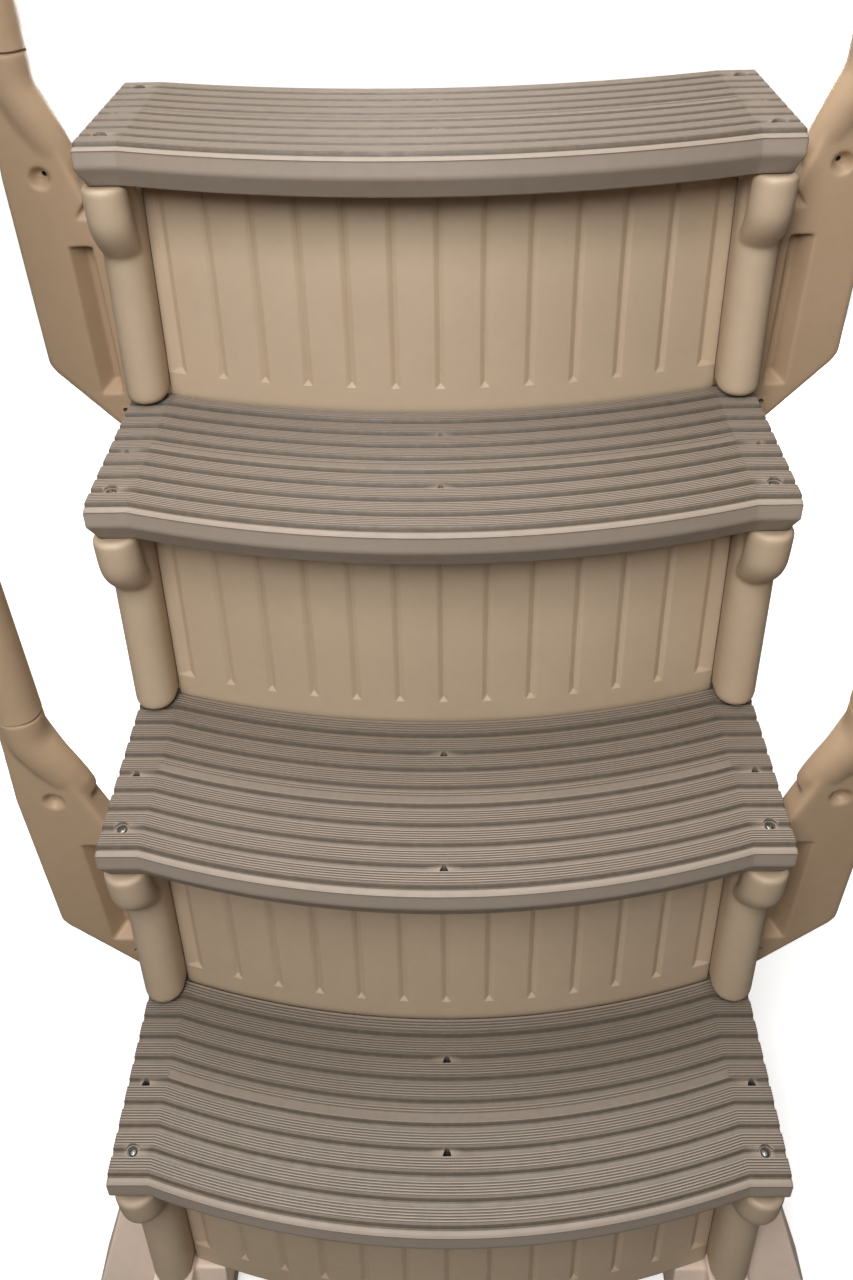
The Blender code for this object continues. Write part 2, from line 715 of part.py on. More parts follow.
def make_crossbar(place, step, leg_back_y):
    """A floor bar that ties the left and right legs together."""
    half = LEG_INNER_X - GAP
    back = lip_y(step) + leg_back_y - CROSSBAR_INSET
    front = back - CROSSBAR_DEPTH
    low, high = CROSSBAR_FLOOR_GAP, CROSSBAR_HEIGHT
    outline = [(front, low), (back, low), (back, high), (front, high)]
    name = f"base_crossbar_{place}"
    add_object(name, prism(name, outline, 0, -half, half), PARTS, SAND_PLASTIC)


def make_deck_bracket(side_name):
    """An angle plate. It is at its lowest setting, and slides up on its two bolts."""
    middle_x = SIDES[side_name] * (PANEL_INNER_X + PANEL_OUTER_X) / 2
    near = lip_y(STEPS) + PANEL_REAR_Y + GAP
    deck = DECK_HEIGHT_LOW
    outline = [
        (0.0, -DECK_DROP),
        (DECK_PLATE, -DECK_DROP),
        (DECK_PLATE, -DECK_FILLET),
        (DECK_PLATE + DECK_FILLET, 0.0),
        (DECK_REACH, 0.0),
        (DECK_REACH, DECK_PLATE),
        (0.0, DECK_PLATE),
    ]
    name = f"deck_bracket_{side_name}"
    angle_plate = prism(name, outline, 0, -DECK_WIDTH / 2, DECK_WIDTH / 2)
    bracket = add_object(name, angle_plate, PARTS, STAINLESS)
    bracket.location = (middle_x, near, deck)
    slot_outline = rounded_rectangle(
        (middle_x, deck + sum(DECK_SLOT) / 2), DECK_SLOT_HALF_WIDTH,
        (DECK_SLOT[1] - DECK_SLOT[0]) / 2, DECK_SLOT_HALF_WIDTH - 0.0001
    )
    slot = prism(name + "_slot", slot_outline, 1, near - OVERCUT, near + DECK_PLATE + OVERCUT)
    boolean(bracket, add_object(name + "_slot", slot, CUTTERS), "DIFFERENCE")
    low, high = deck - OVERCUT, deck + DECK_PLATE + OVERCUT
    holes = []
    for y in DECK_SCREW_HOLES_Y:
        holes.append(((middle_x, near + y, low), (middle_x, near + y, high), DECK_SCREW_HOLE_RADIUS))
    drill(bracket, holes)
    for place, bolt_z in zip(("low", "high"), DECK_BOLTS_Z):
        seat = (middle_x, near + DECK_PLATE + GAP, deck + bolt_z)
        make_screw(f"deck_bolt_{side_name}_{place}", seat, (0, 1, 0), DECK_BOLT)


for step in range(1, STEPS + 1):
    make_tread(step)
    make_riser(step)
    for side_name in SIDES:
        make_post(side_name, step)
make_crossbar("front", 1, LEG_FRONT_BACK_Y)
make_crossbar("rear", STEPS, LEG_REAR_Y[1])
for side_name in SIDES:
    make_side_panel(side_name)
    make_front_leg(side_name)
    make_rear_leg(side_name)
    make_handrail(side_name)
    make_deck_bracket(side_name)
    for level in BRACKET_STEPS:
        make_bracket(side_name, level)
make_tread_screws()
make_bracket_bolts()
make_rail_screws()
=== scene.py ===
"""Looks for the in-pool step ladder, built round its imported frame.

Metres, +Z up, in the frame's own coordinates. Each visible part is a detailed shell that stands for a CAD
node and rides on that node's body. Left parts are mirrored copies of the right ones.
"""

from math import copysign, cos, pi, radians, sin, sqrt, tan, tau

import bmesh
import bpy
from mathutils import Matrix, Vector


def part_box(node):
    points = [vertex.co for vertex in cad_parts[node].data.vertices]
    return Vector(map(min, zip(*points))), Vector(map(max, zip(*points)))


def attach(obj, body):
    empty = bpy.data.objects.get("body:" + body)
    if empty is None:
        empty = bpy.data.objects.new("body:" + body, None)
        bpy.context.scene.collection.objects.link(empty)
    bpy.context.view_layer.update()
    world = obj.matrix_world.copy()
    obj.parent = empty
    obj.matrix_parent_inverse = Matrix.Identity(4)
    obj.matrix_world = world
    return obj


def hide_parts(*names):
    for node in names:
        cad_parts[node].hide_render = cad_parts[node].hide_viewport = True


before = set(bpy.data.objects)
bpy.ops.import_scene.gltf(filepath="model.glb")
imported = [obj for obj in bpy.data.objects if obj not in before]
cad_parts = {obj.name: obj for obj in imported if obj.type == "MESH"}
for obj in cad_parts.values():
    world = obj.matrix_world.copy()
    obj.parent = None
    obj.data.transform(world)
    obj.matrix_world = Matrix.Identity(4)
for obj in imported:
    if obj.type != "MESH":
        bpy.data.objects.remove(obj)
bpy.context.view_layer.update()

# Sizes shared with the CAD, from the frame where it gives them
STEPS = 4
TREAD_DEPTH = 0.268  # from the lip line to the back of a tread
TREAD_LOW, TREAD_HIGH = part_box("tread_1")
TREAD_WIDTH = TREAD_HIGH.x - TREAD_LOW.x
TREAD_THICKNESS = TREAD_HIGH.z - TREAD_LOW.z
NOSE_REACH = 0.012  # how far a nose stands in front of the lip line
BOW_DEPTH = TREAD_HIGH.y - TREAD_LOW.y - TREAD_DEPTH - NOSE_REACH
BEND_X = 0.3342  # where the bow ends and a tread's straight ends begin
GAP = 0.0003
SIDES = {"left": -1, "right": 1}
WELD = 0.00002  # vertices nearer than this are one

# Tread: y is from the lip line, z from the top surface
GROOVES = 9
GROOVE_PITCH = 0.0281
ARRIS = 0.0005  # easing of a channel's edges
CHANNEL_BACK = 0.0026  # a channel's edges, from its line
CHANNEL_FRONT = 0.0074
CHANNEL_DEPTH = 0.0046
CHANNEL_WALL = 0.0016
# The third value in the tread's profile tables is painted shade: how far the colour is darkened where shade
# falls in channels, grooves and seams.
BEHIND_CHANNEL = (  # (y, z, painted shade) from a channel's back edge down to its floor
    (CHANNEL_BACK + ARRIS, 0.0, 0.0), (CHANNEL_BACK, -ARRIS, 0.9),
    (CHANNEL_BACK - CHANNEL_WALL, -CHANNEL_DEPTH, 1.0),
    (CHANNEL_BACK - CHANNEL_WALL - 0.0018, -CHANNEL_DEPTH, 1.0),
)
BEFORE_CHANNEL = (  # and from the floor up to the front edge
    (-0.0014, -CHANNEL_DEPTH, 0.42), (-CHANNEL_FRONT + 0.0018, -CHANNEL_DEPTH, 0.42),
    (-CHANNEL_FRONT + 0.0004, -CHANNEL_DEPTH, 1.0), (-CHANNEL_FRONT, -ARRIS, 0.3),
)
FINE_RIBS = 5  # on each plank between two channels
FINE_END = 0.36  # what is left after the last rib, as a share of the ribs' pitch
BACK_RIBS = 4  # on the strip behind the last channel
BACK_END = 0.38
FINE_DEPTH = 0.0013
FINE_PROFILE = (  # (share of the pitch, share of the depth, painted shade) over one rib and the groove after it
    (0.0, 0.0, 0.0), (0.38, 0.0, 0.0), (0.50, 1.0, 0.62), (0.88, 1.0, 0.62)
)
PLAIN_BAND = 4  # the plank with a plain strip between the bends, and the ribs that it takes the place of
PLAIN_RIBS = (2, 3, 4)
PLAIN = (-0.0004, 0.42)  # (z, painted shade) of the strip, painted darker than the rib tops that catch the light
TREAD_BACK = 0.2472  # the top surface ends here, and a lower ledge runs on to TREAD_DEPTH
LEDGE_DROP = 0.009
BACK_EDGE = (  # (y, z, painted shade)
    (TREAD_DEPTH - 0.001, -LEDGE_DROP, 1.0), (TREAD_BACK, -LEDGE_DROP, 1.0), (TREAD_BACK, -0.0012, 0.8),
    (TREAD_BACK - 0.0012, 0.0, 0.0),
)
NOSE_DROP = 0.0042
NOSE_TOP = -0.0084  # y where the nose's top turns down
NOSE_BOTTOM = 0.0245
SEAM_DROP = NOSE_DROP + 0.0030
SKIRT_INSET = 0.010
NOSE = (  # (y, z, painted shade) from the front channel over the nose to the seam under its edge
    (-0.0010, -NOSE_DROP - 0.0003, 0.6), (-0.0020, -NOSE_DROP, 0.0), (-0.0044, -NOSE_DROP - 0.0002, 0.0),
    (-0.0062, -NOSE_DROP - 0.0009, 0.0), (-0.0073, -NOSE_DROP - 0.0018, 0.0),
    (NOSE_TOP, -SEAM_DROP + 0.0004, 0.0), (NOSE_TOP + 0.0002, -SEAM_DROP, 1.0),
    (NOSE_TOP, -SEAM_DROP - 0.0007, 0.4),
)
NOSE_FACE = (  # (y, z) from the seam down the face and the skirt
    (NOSE_TOP - 0.0002, -SEAM_DROP - 0.0018), (-NOSE_REACH + 0.0006, -NOSE_BOTTOM + 0.0054),
    (-NOSE_REACH, -NOSE_BOTTOM + 0.0030), (-NOSE_REACH, -NOSE_BOTTOM + 0.0006),
    (-NOSE_REACH + 0.0004, -NOSE_BOTTOM - 0.0006), (-NOSE_REACH + 0.0012, -NOSE_BOTTOM - 0.0022),
    (-NOSE_REACH + SKIRT_INSET - 0.001, -TREAD_THICKNESS + 0.0014),
    (-NOSE_REACH + SKIRT_INSET + 0.001, -TREAD_THICKNESS),
)
UNDER_GROOVES = 4
UNDER_GROOVE_Y = 0.075
UNDER_GROOVE_PITCH = 0.045
UNDER_GROOVE = ((-0.010, 0.0), (-0.006, 0.003), (0.006, 0.003), (0.010, 0.0))
BACK_FACE = (  # (y, z) from the underside up to the ledge
    (TREAD_DEPTH - 0.0015, -TREAD_THICKNESS), (TREAD_DEPTH, -TREAD_THICKNESS + 0.0015),
    (TREAD_DEPTH, -NOSE_BOTTOM), (TREAD_DEPTH, -LEDGE_DROP - 0.001),
)
BOW_SPANS = 16  # from the middle to a bend
BEND_EASING = (-0.0030, -0.0006, 0.0006, 0.0030)
END_ROUND = 0.003
END_FADE = 0.02  # depth under the top at which the rounding of a tread's end has run out
SCREW_X = 0.358
FRONT_SCREW_Y = 0.028
BACK_SCREW_Y = 0.225
SEAT_RADIUS = 0.0078
SEAT_DEPTH = 0.0035
SCREW_HOLE_DEPTH = 0.0065
SIDE_DRAIN = (0.360, 0.1124)  # (x, y)
CENTRE_DRAINS_Y = (0.0843, 0.1967)
LOW_CENTRE_DRAINS_Y = (0.028, 0.1967)
LOW_DRAIN_STEP = 2  # the tread whose front centre drain is nearer to its lip
DRAIN_RADIUS = 0.0050
DRAIN_REACH = 0.0094
CLEAR = 0.004  # how far a cutter stands out of what it cuts

# Riser
RISER_THICKNESS = 0.016
RISER_FLUTES = 13
FLUTE_PITCH = 0.0525
FLUTE_HALF = 0.0062
FLUTE_DEPTH = 0.0048
FLUTE_SHELF = 0.38  # share of the depth that is reached half way in from a flute's edge
FLUTE_RAMP = 0.0056  # height of the slope at a flute's end
FLUTE_FOOT = 0.0345
FLUTE_HEAD = 0.010
FLUTE_BEND = radians(14)  # bends sharper than this are eased
END_FLUTE_OUT = 0.0185  # the outermost flutes run out this far past their middle
LEAN = 0.14  # of the risers and posts, in y for each unit of z

# Post and boss: y is from the lip line, z from the post's top
POST_X = 0.3586
POST_Y = 0.017
POST_RADIUS = 0.0248
POST_BACK_Y = 0.048
POST_FOOT_RADIUS = 0.011
POST_ARC = 24  # segments of a post's round front
BOSS_ARC = 40
BOSS_PATH = (  # (z, y, radius) down a boss
    (0.0, 0.008, 0.0203), (-0.0013, 0.008, 0.0232), (-0.0045, 0.008, 0.0248), (-0.032, 0.008, 0.0248),
    (-0.042, 0.0088, 0.0248), (-0.050, 0.0110, 0.0246), (-0.058, 0.0150, 0.0243), (-0.066, 0.0205, 0.0240),
    (-0.075, 0.0285, 0.0236), (-0.086, 0.0385, 0.0220),
)
WEB = ((0.0, 0.0215, 0.008, 0.053), (-0.055, 0.0195, 0.020, 0.045))  # (z, half width, front y, back y)
GUSSET_BACK_Y = 0.0760
GUSSET = (  # (z, outer x, inner x, y at the outer x, y at the inner x)
    (-0.0006, 0.3385, 0.3200, 0.0340, 0.0390), (-0.0230, 0.3375, 0.3330, 0.0500, 0.0520),
)

# Rail bracket: y is from the lip line, z from the bracket's own datum
BRACKET_FRONT_Y = 0.074
BRACKET_DEPTH = 0.040
BRACKET_DATUM_DROP = 0.133
NECK_X = 0.461
NECK_Y = 0.091
NECK_TOP = 0.078
BRACKET_CORNERS = (  # (x, z)
    (0.4850, NECK_TOP - 0.010), (0.494, -0.050), (0.494, -0.276), (0.488, -0.287),
    (0.390, -0.397), (0.382, -0.393), (0.382, -0.141), (0.4155, -0.040), (0.4470, NECK_TOP - 0.010),
)
TUBE_RADIUS = 0.025
RIDGE = (  # (x, y, z, radius) from the neck down into the plate
    (NECK_X, NECK_Y, NECK_TOP, TUBE_RADIUS), (NECK_X, NECK_Y, 0.050, TUBE_RADIUS),
    (0.4585, NECK_Y, 0.035, TUBE_RADIUS), (0.448, NECK_Y + 0.001, 0.010, 0.0245),
    (0.437, NECK_Y + 0.003, -0.015, 0.023), (0.427, NECK_Y + 0.006, -0.038, 0.0205),
    (0.419, NECK_Y + 0.010, -0.056, 0.016),
)
RECESS_X = (0.4065, 0.4350)
RECESS_Z = (-0.317, -0.128)
RECESS_DEPTH = 0.022
RECESS_FLOOR_X = (RECESS_X[0] + 0.0022, RECESS_X[1] - 0.0150)
RECESS_FLOOR_Z = (RECESS_Z[0] + 0.012, RECESS_Z[1] - 0.003)
DIMPLE = (0.449, -0.050)
DIMPLE_HOLE_RADIUS = 0.0032
CORNER_HOLE = (0.4085, -0.340)
CORNER_HOLE_RADIUS = 0.0036
BRACKET_STEPS = {"lower": 2, "upper": 4}
RAIL_ARC = 40
RAIL_LIP = 0.0016  # rounding of a rail's ends
RAIL_WALL = 0.0038
RAIL_BORE_DEPTH = 0.0585
FACET = (  # (depth, corners in x and z) of the three-cornered dent beside the boss
    (-0.001, ((0.3930, -0.0990), (0.4215, -0.0990), (0.4030, -0.0720), (0.3930, -0.0720))),
    (0.0095, ((0.3930, -0.0850), (0.4060, -0.0850), (0.4000, -0.0720), (0.3930, -0.0720))),
)

# Side panels and base
SIDE_FRONT_Y = 0.0865  # a side panel's edge behind each lip line
WINDOW_INSET = 0.0375
WINDOW_WIDTH = 0.110
WINDOW_ROUND = 0.034
WINDOW_HEAD = 0.042  # from a tread's underside to the windows
WINDOW_BAR = 0.075  # between two rows of windows
DENT_RADIUS = 0.0085
DENT_AHEAD = 0.0155  # a dent's y in front of a panel's stepped edge
DENT_END = 0.0337
DENT_PROUD = 0.0015  # a dent's axis lies this far outside the board
FRONT_LEG_INNER_X = 0.3805
REAR_LEG = (0.3455, 0.100, 0.104)  # inner x, top of the stub, top of the shelf

# Fasteners: how far the solids' heads stand over their seats
TREAD_SCREW_RISE = 0.0032
RAIL_SCREW_RISE = 0.0024
BRACKET_BOLT_RISE = 0.0048
DECK_BOLT_RISE = 0.0050

# Deck brackets
SHEET = 0.005
SLOT_Z = (-0.225, -0.022)  # the slot's ends, from the flange's underside
SLOT_RADIUS = 0.0045
DECK_HOLES_Y = (0.035, 0.065)
DECK_HOLE_RADIUS = 0.0032
DECK_SINK_RADIUS = 0.0062

# Stage
FLOOR_SIZE = 80.0
AMBIENT = 0.09
CAMERA_PLACE = (0.0104, -1.0234, 1.6488)
CAMERA_TURN = (39.875, 1.705, -1.622)  # degrees of pitch down, yaw and roll
CAMERA_LENS = 30.86
LIGHTS = (  # (name, place, aim, size, power)
    ("near", (-0.3, -1.15, 2.8), (0, -0.1, 0.9), 0.6, 18.5),
    ("key", (-0.6, -2.3, 2.9), (0, 0, 0.9), 1.0, 28),
    ("low", (-0.2, -1.3, 2.1), (0, 0, 0.9), 0.5, 9),
    ("top", (-0.3, 0.4, 3.6), (0, 0, 0.9), 1.8, 78),
    ("back", (0.5, 2.9, 0.8), (0, 0.2, 0.8), 1.6, 75),
)


# Small helpers

def baked(obj):
    """The object's mesh with its modifiers applied; the object itself goes."""
    graph = bpy.context.evaluated_depsgraph_get()
    mesh = bpy.data.meshes.new_from_object(obj.evaluated_get(graph))
    bpy.data.objects.remove(obj, do_unlink=True)
    return mesh


def object_of(name, data):
    obj = bpy.data.objects.new(name, data)
    bpy.context.scene.collection.objects.link(obj)
    return obj


def mesh_of(bm, name):
    bm.normal_update()
    bmesh.ops.recalc_face_normals(bm, faces=bm.faces)
    mesh = bpy.data.meshes.new(name)
    bm.to_mesh(mesh)
    bm.free()
    return mesh


def add_modifier(obj, kind, **values):
    modifier = obj.modifiers.new(kind.lower(), kind)
    for key, value in values.items():
        setattr(modifier, key, value)
    return modifier


def merged(mesh, name, repair=False):
    """The mesh with its touching vertices joined and, with repair, its slivers and open edges closed."""
    bm = bmesh.new()
    bm.from_mesh(mesh)
    bmesh.ops.remove_doubles(bm, verts=bm.verts, dist=WELD)
    if repair:
        bmesh.ops.dissolve_degenerate(bm, edges=bm.edges, dist=WELD)
        bmesh.ops.holes_fill(bm, edges=[edge for edge in bm.edges if edge.is_boundary], sides=0)
    return mesh_of(bm, name)


def softened(name, mesh, voxel, rounds, keep=1.0):
    """The mesh rebuilt in voxels and smoothed like a blown moulding, with a share of its faces kept."""
    obj = object_of(name, mesh)
    add_modifier(obj, "REMESH", mode="VOXEL", voxel_size=voxel)
    add_modifier(obj, "SMOOTH", factor=0.5, iterations=rounds)
    if keep < 1.0:
        add_modifier(obj, "DECIMATE", ratio=keep)
    return baked(obj)


def carve(name, mesh, steps):
    """The mesh after a list of (operation, mesh) Booleans."""
    obj = object_of(name, mesh)
    others = []
    for operation, other in steps:
        others.append(object_of(f"{name}_{operation.lower()}", other))
        add_modifier(obj, "BOOLEAN", operation=operation, object=others[-1], solver="EXACT")
    result = baked(obj)
    for other in others:
        bpy.data.objects.remove(other, do_unlink=True)
    return result


def cuts(meshes):
    """The steps that take each mesh away."""
    return [("DIFFERENCE", mesh) for mesh in meshes]


def mirrored(mesh):
    copy = mesh.copy()
    copy.transform(Matrix.Diagonal((-1, 1, 1, 1)))
    copy.flip_normals()
    return copy


def moved(mesh, offset):
    copy = mesh.copy()
    copy.transform(Matrix.Translation(offset))
    return copy


def piece(node, mesh, material, smooth=0.5, body="ladder"):
    """A finished shell that stands for one CAD node."""
    obj = object_of(node + "_shell", mesh)
    mesh.materials.clear()
    mesh.materials.append(material)
    mesh.shade_smooth()
    mesh.set_sharp_from_angle(angle=smooth)
    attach(obj, body)
    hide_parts(node)


def pair(start, right, material, smooth=0.5, end=""):
    """A right-hand shell of sand plastic and its mirror image on the left."""
    piece(f"{start}_right{end}", right, material, smooth)
    piece(f"{start}_left{end}", mirrored(right), material, smooth)


def rectangle(x_low, y_low, x_high, y_high):
    return [(x_low, y_low), (x_high, y_low), (x_high, y_high), (x_low, y_high)]


def lofted(name, rings):
    """A closed solid through a row of rings."""
    bm = bmesh.new()
    loops = [[bm.verts.new(point) for point in ring] for ring in rings]
    for lower, upper in zip(loops, loops[1:]):
        for i, vertex in enumerate(lower):
            j = (i + 1) % len(lower)
            bm.faces.new((vertex, lower[j], upper[j], upper[i]))
    bm.faces.new(loops[0])
    bm.faces.new(loops[-1])
    return mesh_of(bm, name)


def rods(name, ends, segments=24):
    """Round bars, each (start, end, start radius, end radius)."""
    bm = bmesh.new()
    for start, end, first, last in ends:
        start, end = Vector(start), Vector(end)
        along = end - start
        made = bmesh.ops.create_cone(
            bm, cap_ends=True, segments=segments, radius1=first, radius2=last, depth=along.length
        )
        turn = along.to_track_quat("Z", "Y")
        for vertex in made["verts"]:
            vertex.co = turn @ vertex.co + (start + end) / 2
    return mesh_of(bm, name)


def quarter(steps):
    """Angles from zero to a right angle."""
    return [radians(90) * i / steps for i in range(steps + 1)]


def turned(name, profile, segments=32):
    """A solid of revolution about +Z from (radius, z) points that start and end on the axis."""
    bm = bmesh.new()
    rings = []
    for radius, z in profile:
        if radius == 0:
            rings.append([bm.verts.new((0, 0, z))])
            continue
        angles = [2 * pi * i / segments for i in range(segments)]
        rings.append([bm.verts.new((radius * cos(a), radius * sin(a), z)) for a in angles])
    for first, second in zip(rings, rings[1:]):
        for i in range(segments):
            j = (i + 1) % segments
            corners = [first[i % len(first)], first[j % len(first)]]
            corners += [second[j % len(second)], second[i % len(second)]]
            bm.faces.new(list(dict.fromkeys(corners)))
    return mesh_of(bm, name)


def rounded(points, radius, steps=4):
    """A closed outline with its corners rounded; a corner that is too tight gets a smaller radius."""
    outline = []
    for i, point in enumerate(points):
        here = Vector(point)
        back = Vector(points[i - 1]) - here
        ahead = Vector(points[(i + 1) % len(points)]) - here
        turn = back.angle(ahead)
        reach = min(radius / tan(turn / 2), back.length * 0.45, ahead.length * 0.45)
        start = here + back.normalized() * reach
        end = here + ahead.normalized() * reach
        for step in range(steps + 1):
            t = step / steps
            outline.append(start * (1 - t) ** 2 + here * 2 * t * (1 - t) + end * t ** 2)
    return outline


def plate(name, outlines, thickness, edge, axes):
    """A flat board with rounded edges. axes: the world directions of its outline's axes and of its depth."""
    curve = bpy.data.curves.new(name, "CURVE")
    curve.dimensions = "2D"
    curve.fill_mode = "BOTH"
    curve.extrude = thickness / 2 - edge
    curve.bevel_depth = edge
    curve.bevel_resolution = 3
    curve.offset = -edge
    for outline in outlines:
        spline = curve.splines.new("POLY")
        spline.points.add(len(outline) - 1)
        spline.use_cyclic_u = True
        for target, point in zip(spline.points, outline):
            target.co = (point[0], point[1], 0, 1)
    mesh = merged(baked(object_of(name, curve)), name)
    mesh.transform(Matrix(axes).transposed().to_4x4())
    return mesh


def tube(name, points, radii, resolution=8):
    """A closed round bar along points."""
    curve = bpy.data.curves.new(name, "CURVE")
    curve.dimensions = "3D"
    curve.bevel_depth = 1.0
    curve.bevel_resolution = resolution
    curve.use_fill_caps = True
    spline = curve.splines.new("POLY")
    spline.points.add(len(points) - 1)
    for target, point, radius in zip(spline.points, points, radii):
        target.co = (*point, 1)
        target.radius = radius
    return merged(baked(object_of(name, curve)), name)


FACING = ((1, 0, 0), (0, 0, 1), (0, -1, 0))  # outline in x and z, thickness along y
SIDEWAYS = ((0, 1, 0), (0, 0, 1), (1, 0, 0))  # outline in y and z, thickness along x
LEVEL = ((1, 0, 0), (0, 1, 0), (0, 0, 1))  # outline in x and y, thickness along z


def lip_y(step):
    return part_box(f"tread_{step}")[1].y - TREAD_DEPTH


def tread_top(step):
    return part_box(f"tread_{step}")[1].z


def bow(x):
    """The y offset at x of a tread or riser, which bows forward between its bends."""
    if abs(x) >= BEND_X:
        return 0.0
    return -BOW_DEPTH * (1 - (x / BEND_X) ** 2)


# Materials

class Nodes:
    """Short calls for building the node tree of a material or a world."""

    def __init__(self, owner, shader="Principled BSDF"):
        self.owner = owner
        owner.use_nodes = True
        self.tree = owner.node_tree
        self.shader = self.tree.nodes[shader]

    def add(self, kind, inputs=None, **values):
        node = self.tree.nodes.new("ShaderNode" + kind)
        for key, value in values.items():
            setattr(node, key, value)
        for key, value in (inputs or {}).items():
            self.put(node, key, value)
        return node

    def put(self, node, key, value):
        if isinstance(value, bpy.types.NodeSocket):
            self.tree.links.new(value, node.inputs[key])
        else:
            node.inputs[key].default_value = value

    def place(self, stretch=(1, 1, 1)):
        """Object coordinates, shifted a little for each object so that no two parts share a pattern."""
        coordinates = self.add("TexCoord")
        info = self.add("ObjectInfo")
        places = {0: coordinates.outputs["Object"], 1: info.outputs["Random"]}
        shift = self.add("VectorMath", places)
        mapping = self.add("Mapping", {"Vector": shift.outputs[0], "Scale": stretch})
        return mapping.outputs[0]

    def noise(self, vector, scale, detail=3.0, roughness=0.55):
        node = self.add("TexNoise", {
            "Vector": vector, "Scale": scale, "Detail": detail, "Roughness": roughness
        })
        return node.outputs["Fac"]

    def ramp(self, value, low, high, from_value=0.0, to_value=1.0):
        """The value's span from low to high, mapped to from_value to to_value."""
        node = self.add("MapRange", {
            "Value": value, "From Min": low, "From Max": high, "To Min": from_value, "To Max": to_value
        })
        node.interpolation_type = "SMOOTHSTEP"
        return node.outputs[0]

    def math(self, operation, first, second=0.0):
        node = self.add("Math", {0: first, 1: second}, operation=operation)
        return node.outputs[0]

    def mix(self, factor, first, second):
        node = self.add("Mix", data_type="RGBA")
        self.put(node, 0, factor)
        self.put(node, 6, first)
        self.put(node, 7, second)
        return node.outputs[2]

    def bump(self, height, strength, distance, normal=None):
        node = self.add("Bump", {"Height": height, "Strength": strength, "Distance": distance})
        if normal is not None:
            self.put(node, "Normal", normal)
        return node.outputs[0]


DEEP_SHADE = (0.012, 0.009, 0.006, 1)
SPECK = (0.06, 0.045, 0.035, 1)


# The dark colour serves for dirt, mottling and scuffs, and also for painted shade in creases, corners,
# grooves and seams.
def plastic(name, colour, pale, dirt_and_shade, rough=(0.42, 0.55), edge=1.22, with_painted_shade=False):
    """Moulded polyethylene: even colour, rubbed edges with painted highlight, painted shade in creases and
    corners, faint scuffs and a fine grain.
    """
    # The rubbed colour is the pale tone lightened by the edge factor, for rubbed wear and painted highlight
    # on convex edges.
    rubbed_and_highlit = (*(min(1.0, edge * c) for c in pale), 1)
    colour, pale, dirt_and_shade = (*colour, 1), (*pale, 1), (*dirt_and_shade, 1)
    n = Nodes(bpy.data.materials.new(name))
    place = n.place()
    cloud = n.noise(place, 4.0, 3.0)
    mottle = n.noise(place, 60.0, 4.0, 0.6)
    grain = n.noise(place, 900.0, 2.0)
    peel = n.noise(place, 320.0, 2.0)
    base = n.mix(n.ramp(cloud, 0.3, 0.7), colour, pale)
    base = n.mix(n.ramp(mottle, 0.40, 0.75, 0.0, 0.06), base, dirt_and_shade)
    geometry = n.add("NewGeometry")
    # Convex edges painted lighter: partly rubbed wear, partly painted highlight where rib tops and the nose
    # bead catch the light.
    wear_and_highlight = n.ramp(geometry.outputs["Pointiness"], 0.515, 0.58, 0.0, 0.55)
    base = n.mix(wear_and_highlight, base, rubbed_and_highlit)
    # Painted shade: concave creases darkened towards the dark colour.
    painted_crease_shade = n.ramp(geometry.outputs["Pointiness"], 0.42, 0.485, 0.45, 0.0)
    base = n.mix(painted_crease_shade, base, dirt_and_shade)
    # Painted shade: places that the occlusion test finds tucked in are darkened, and the most enclosed ones,
    # deep in holes and seams, go nearly black.
    corner = n.add("AmbientOcclusion", {"Distance": 0.016}, samples=4)
    painted_corner_shade = n.ramp(corner.outputs["AO"], 0.15, 0.80, 0.55, 0.0)
    base = n.mix(painted_corner_shade, base, dirt_and_shade)
    base = n.mix(n.ramp(corner.outputs["AO"], 0.02, 0.30, 0.95, 0.0), base, DEEP_SHADE)
    specks = n.add("TexVoronoi", {"Vector": place, "Scale": 30.0, "Randomness": 1.0})
    speck = n.ramp(specks.outputs["Distance"], 0.016, 0.028, 0.65, 0.0)
    sparse = n.ramp(n.noise(place, 9.0, 1.0), 0.60, 0.64)
    base = n.mix(n.math("MULTIPLY", speck, sparse), base, SPECK)
    hair = n.noise(n.place((2.0, 2.0, 160.0)), 3.0, 5.0, 0.75)
    scuff = n.ramp(hair, 0.74, 0.80, 0.0, 0.10)
    base = n.mix(scuff, base, dirt_and_shade)
    # Painted shade from each vertex's painted shade value, in patches: channels, grooves, seams and drains
    # darkened where shade falls.
    if with_painted_shade:
        painted_shade = n.add("Attribute", attribute_name="painted_shade").outputs["Fac"]
        patchy = n.ramp(n.noise(place, 120.0, 3.0), 0.2, 0.8, 0.80, 1.0)
        base = n.mix(n.math("MULTIPLY", painted_shade, patchy), base, dirt_and_shade)
    n.put(n.shader, "Base Color", base)
    gloss = n.ramp(mottle, 0.3, 0.75, *rough)
    n.put(n.shader, "Roughness", n.math("ADD", gloss, n.math("MULTIPLY", scuff, 0.6)))
    n.put(n.shader, "Specular IOR Level", 0.40)
    waves = n.bump(n.noise(place, 12.0, 2.0), 0.12, 0.0006)
    fine = n.bump(peel, 0.22, 0.00018, waves)
    n.put(n.shader, "Normal", n.bump(grain, 0.22, 0.00010, fine))
    return n.owner


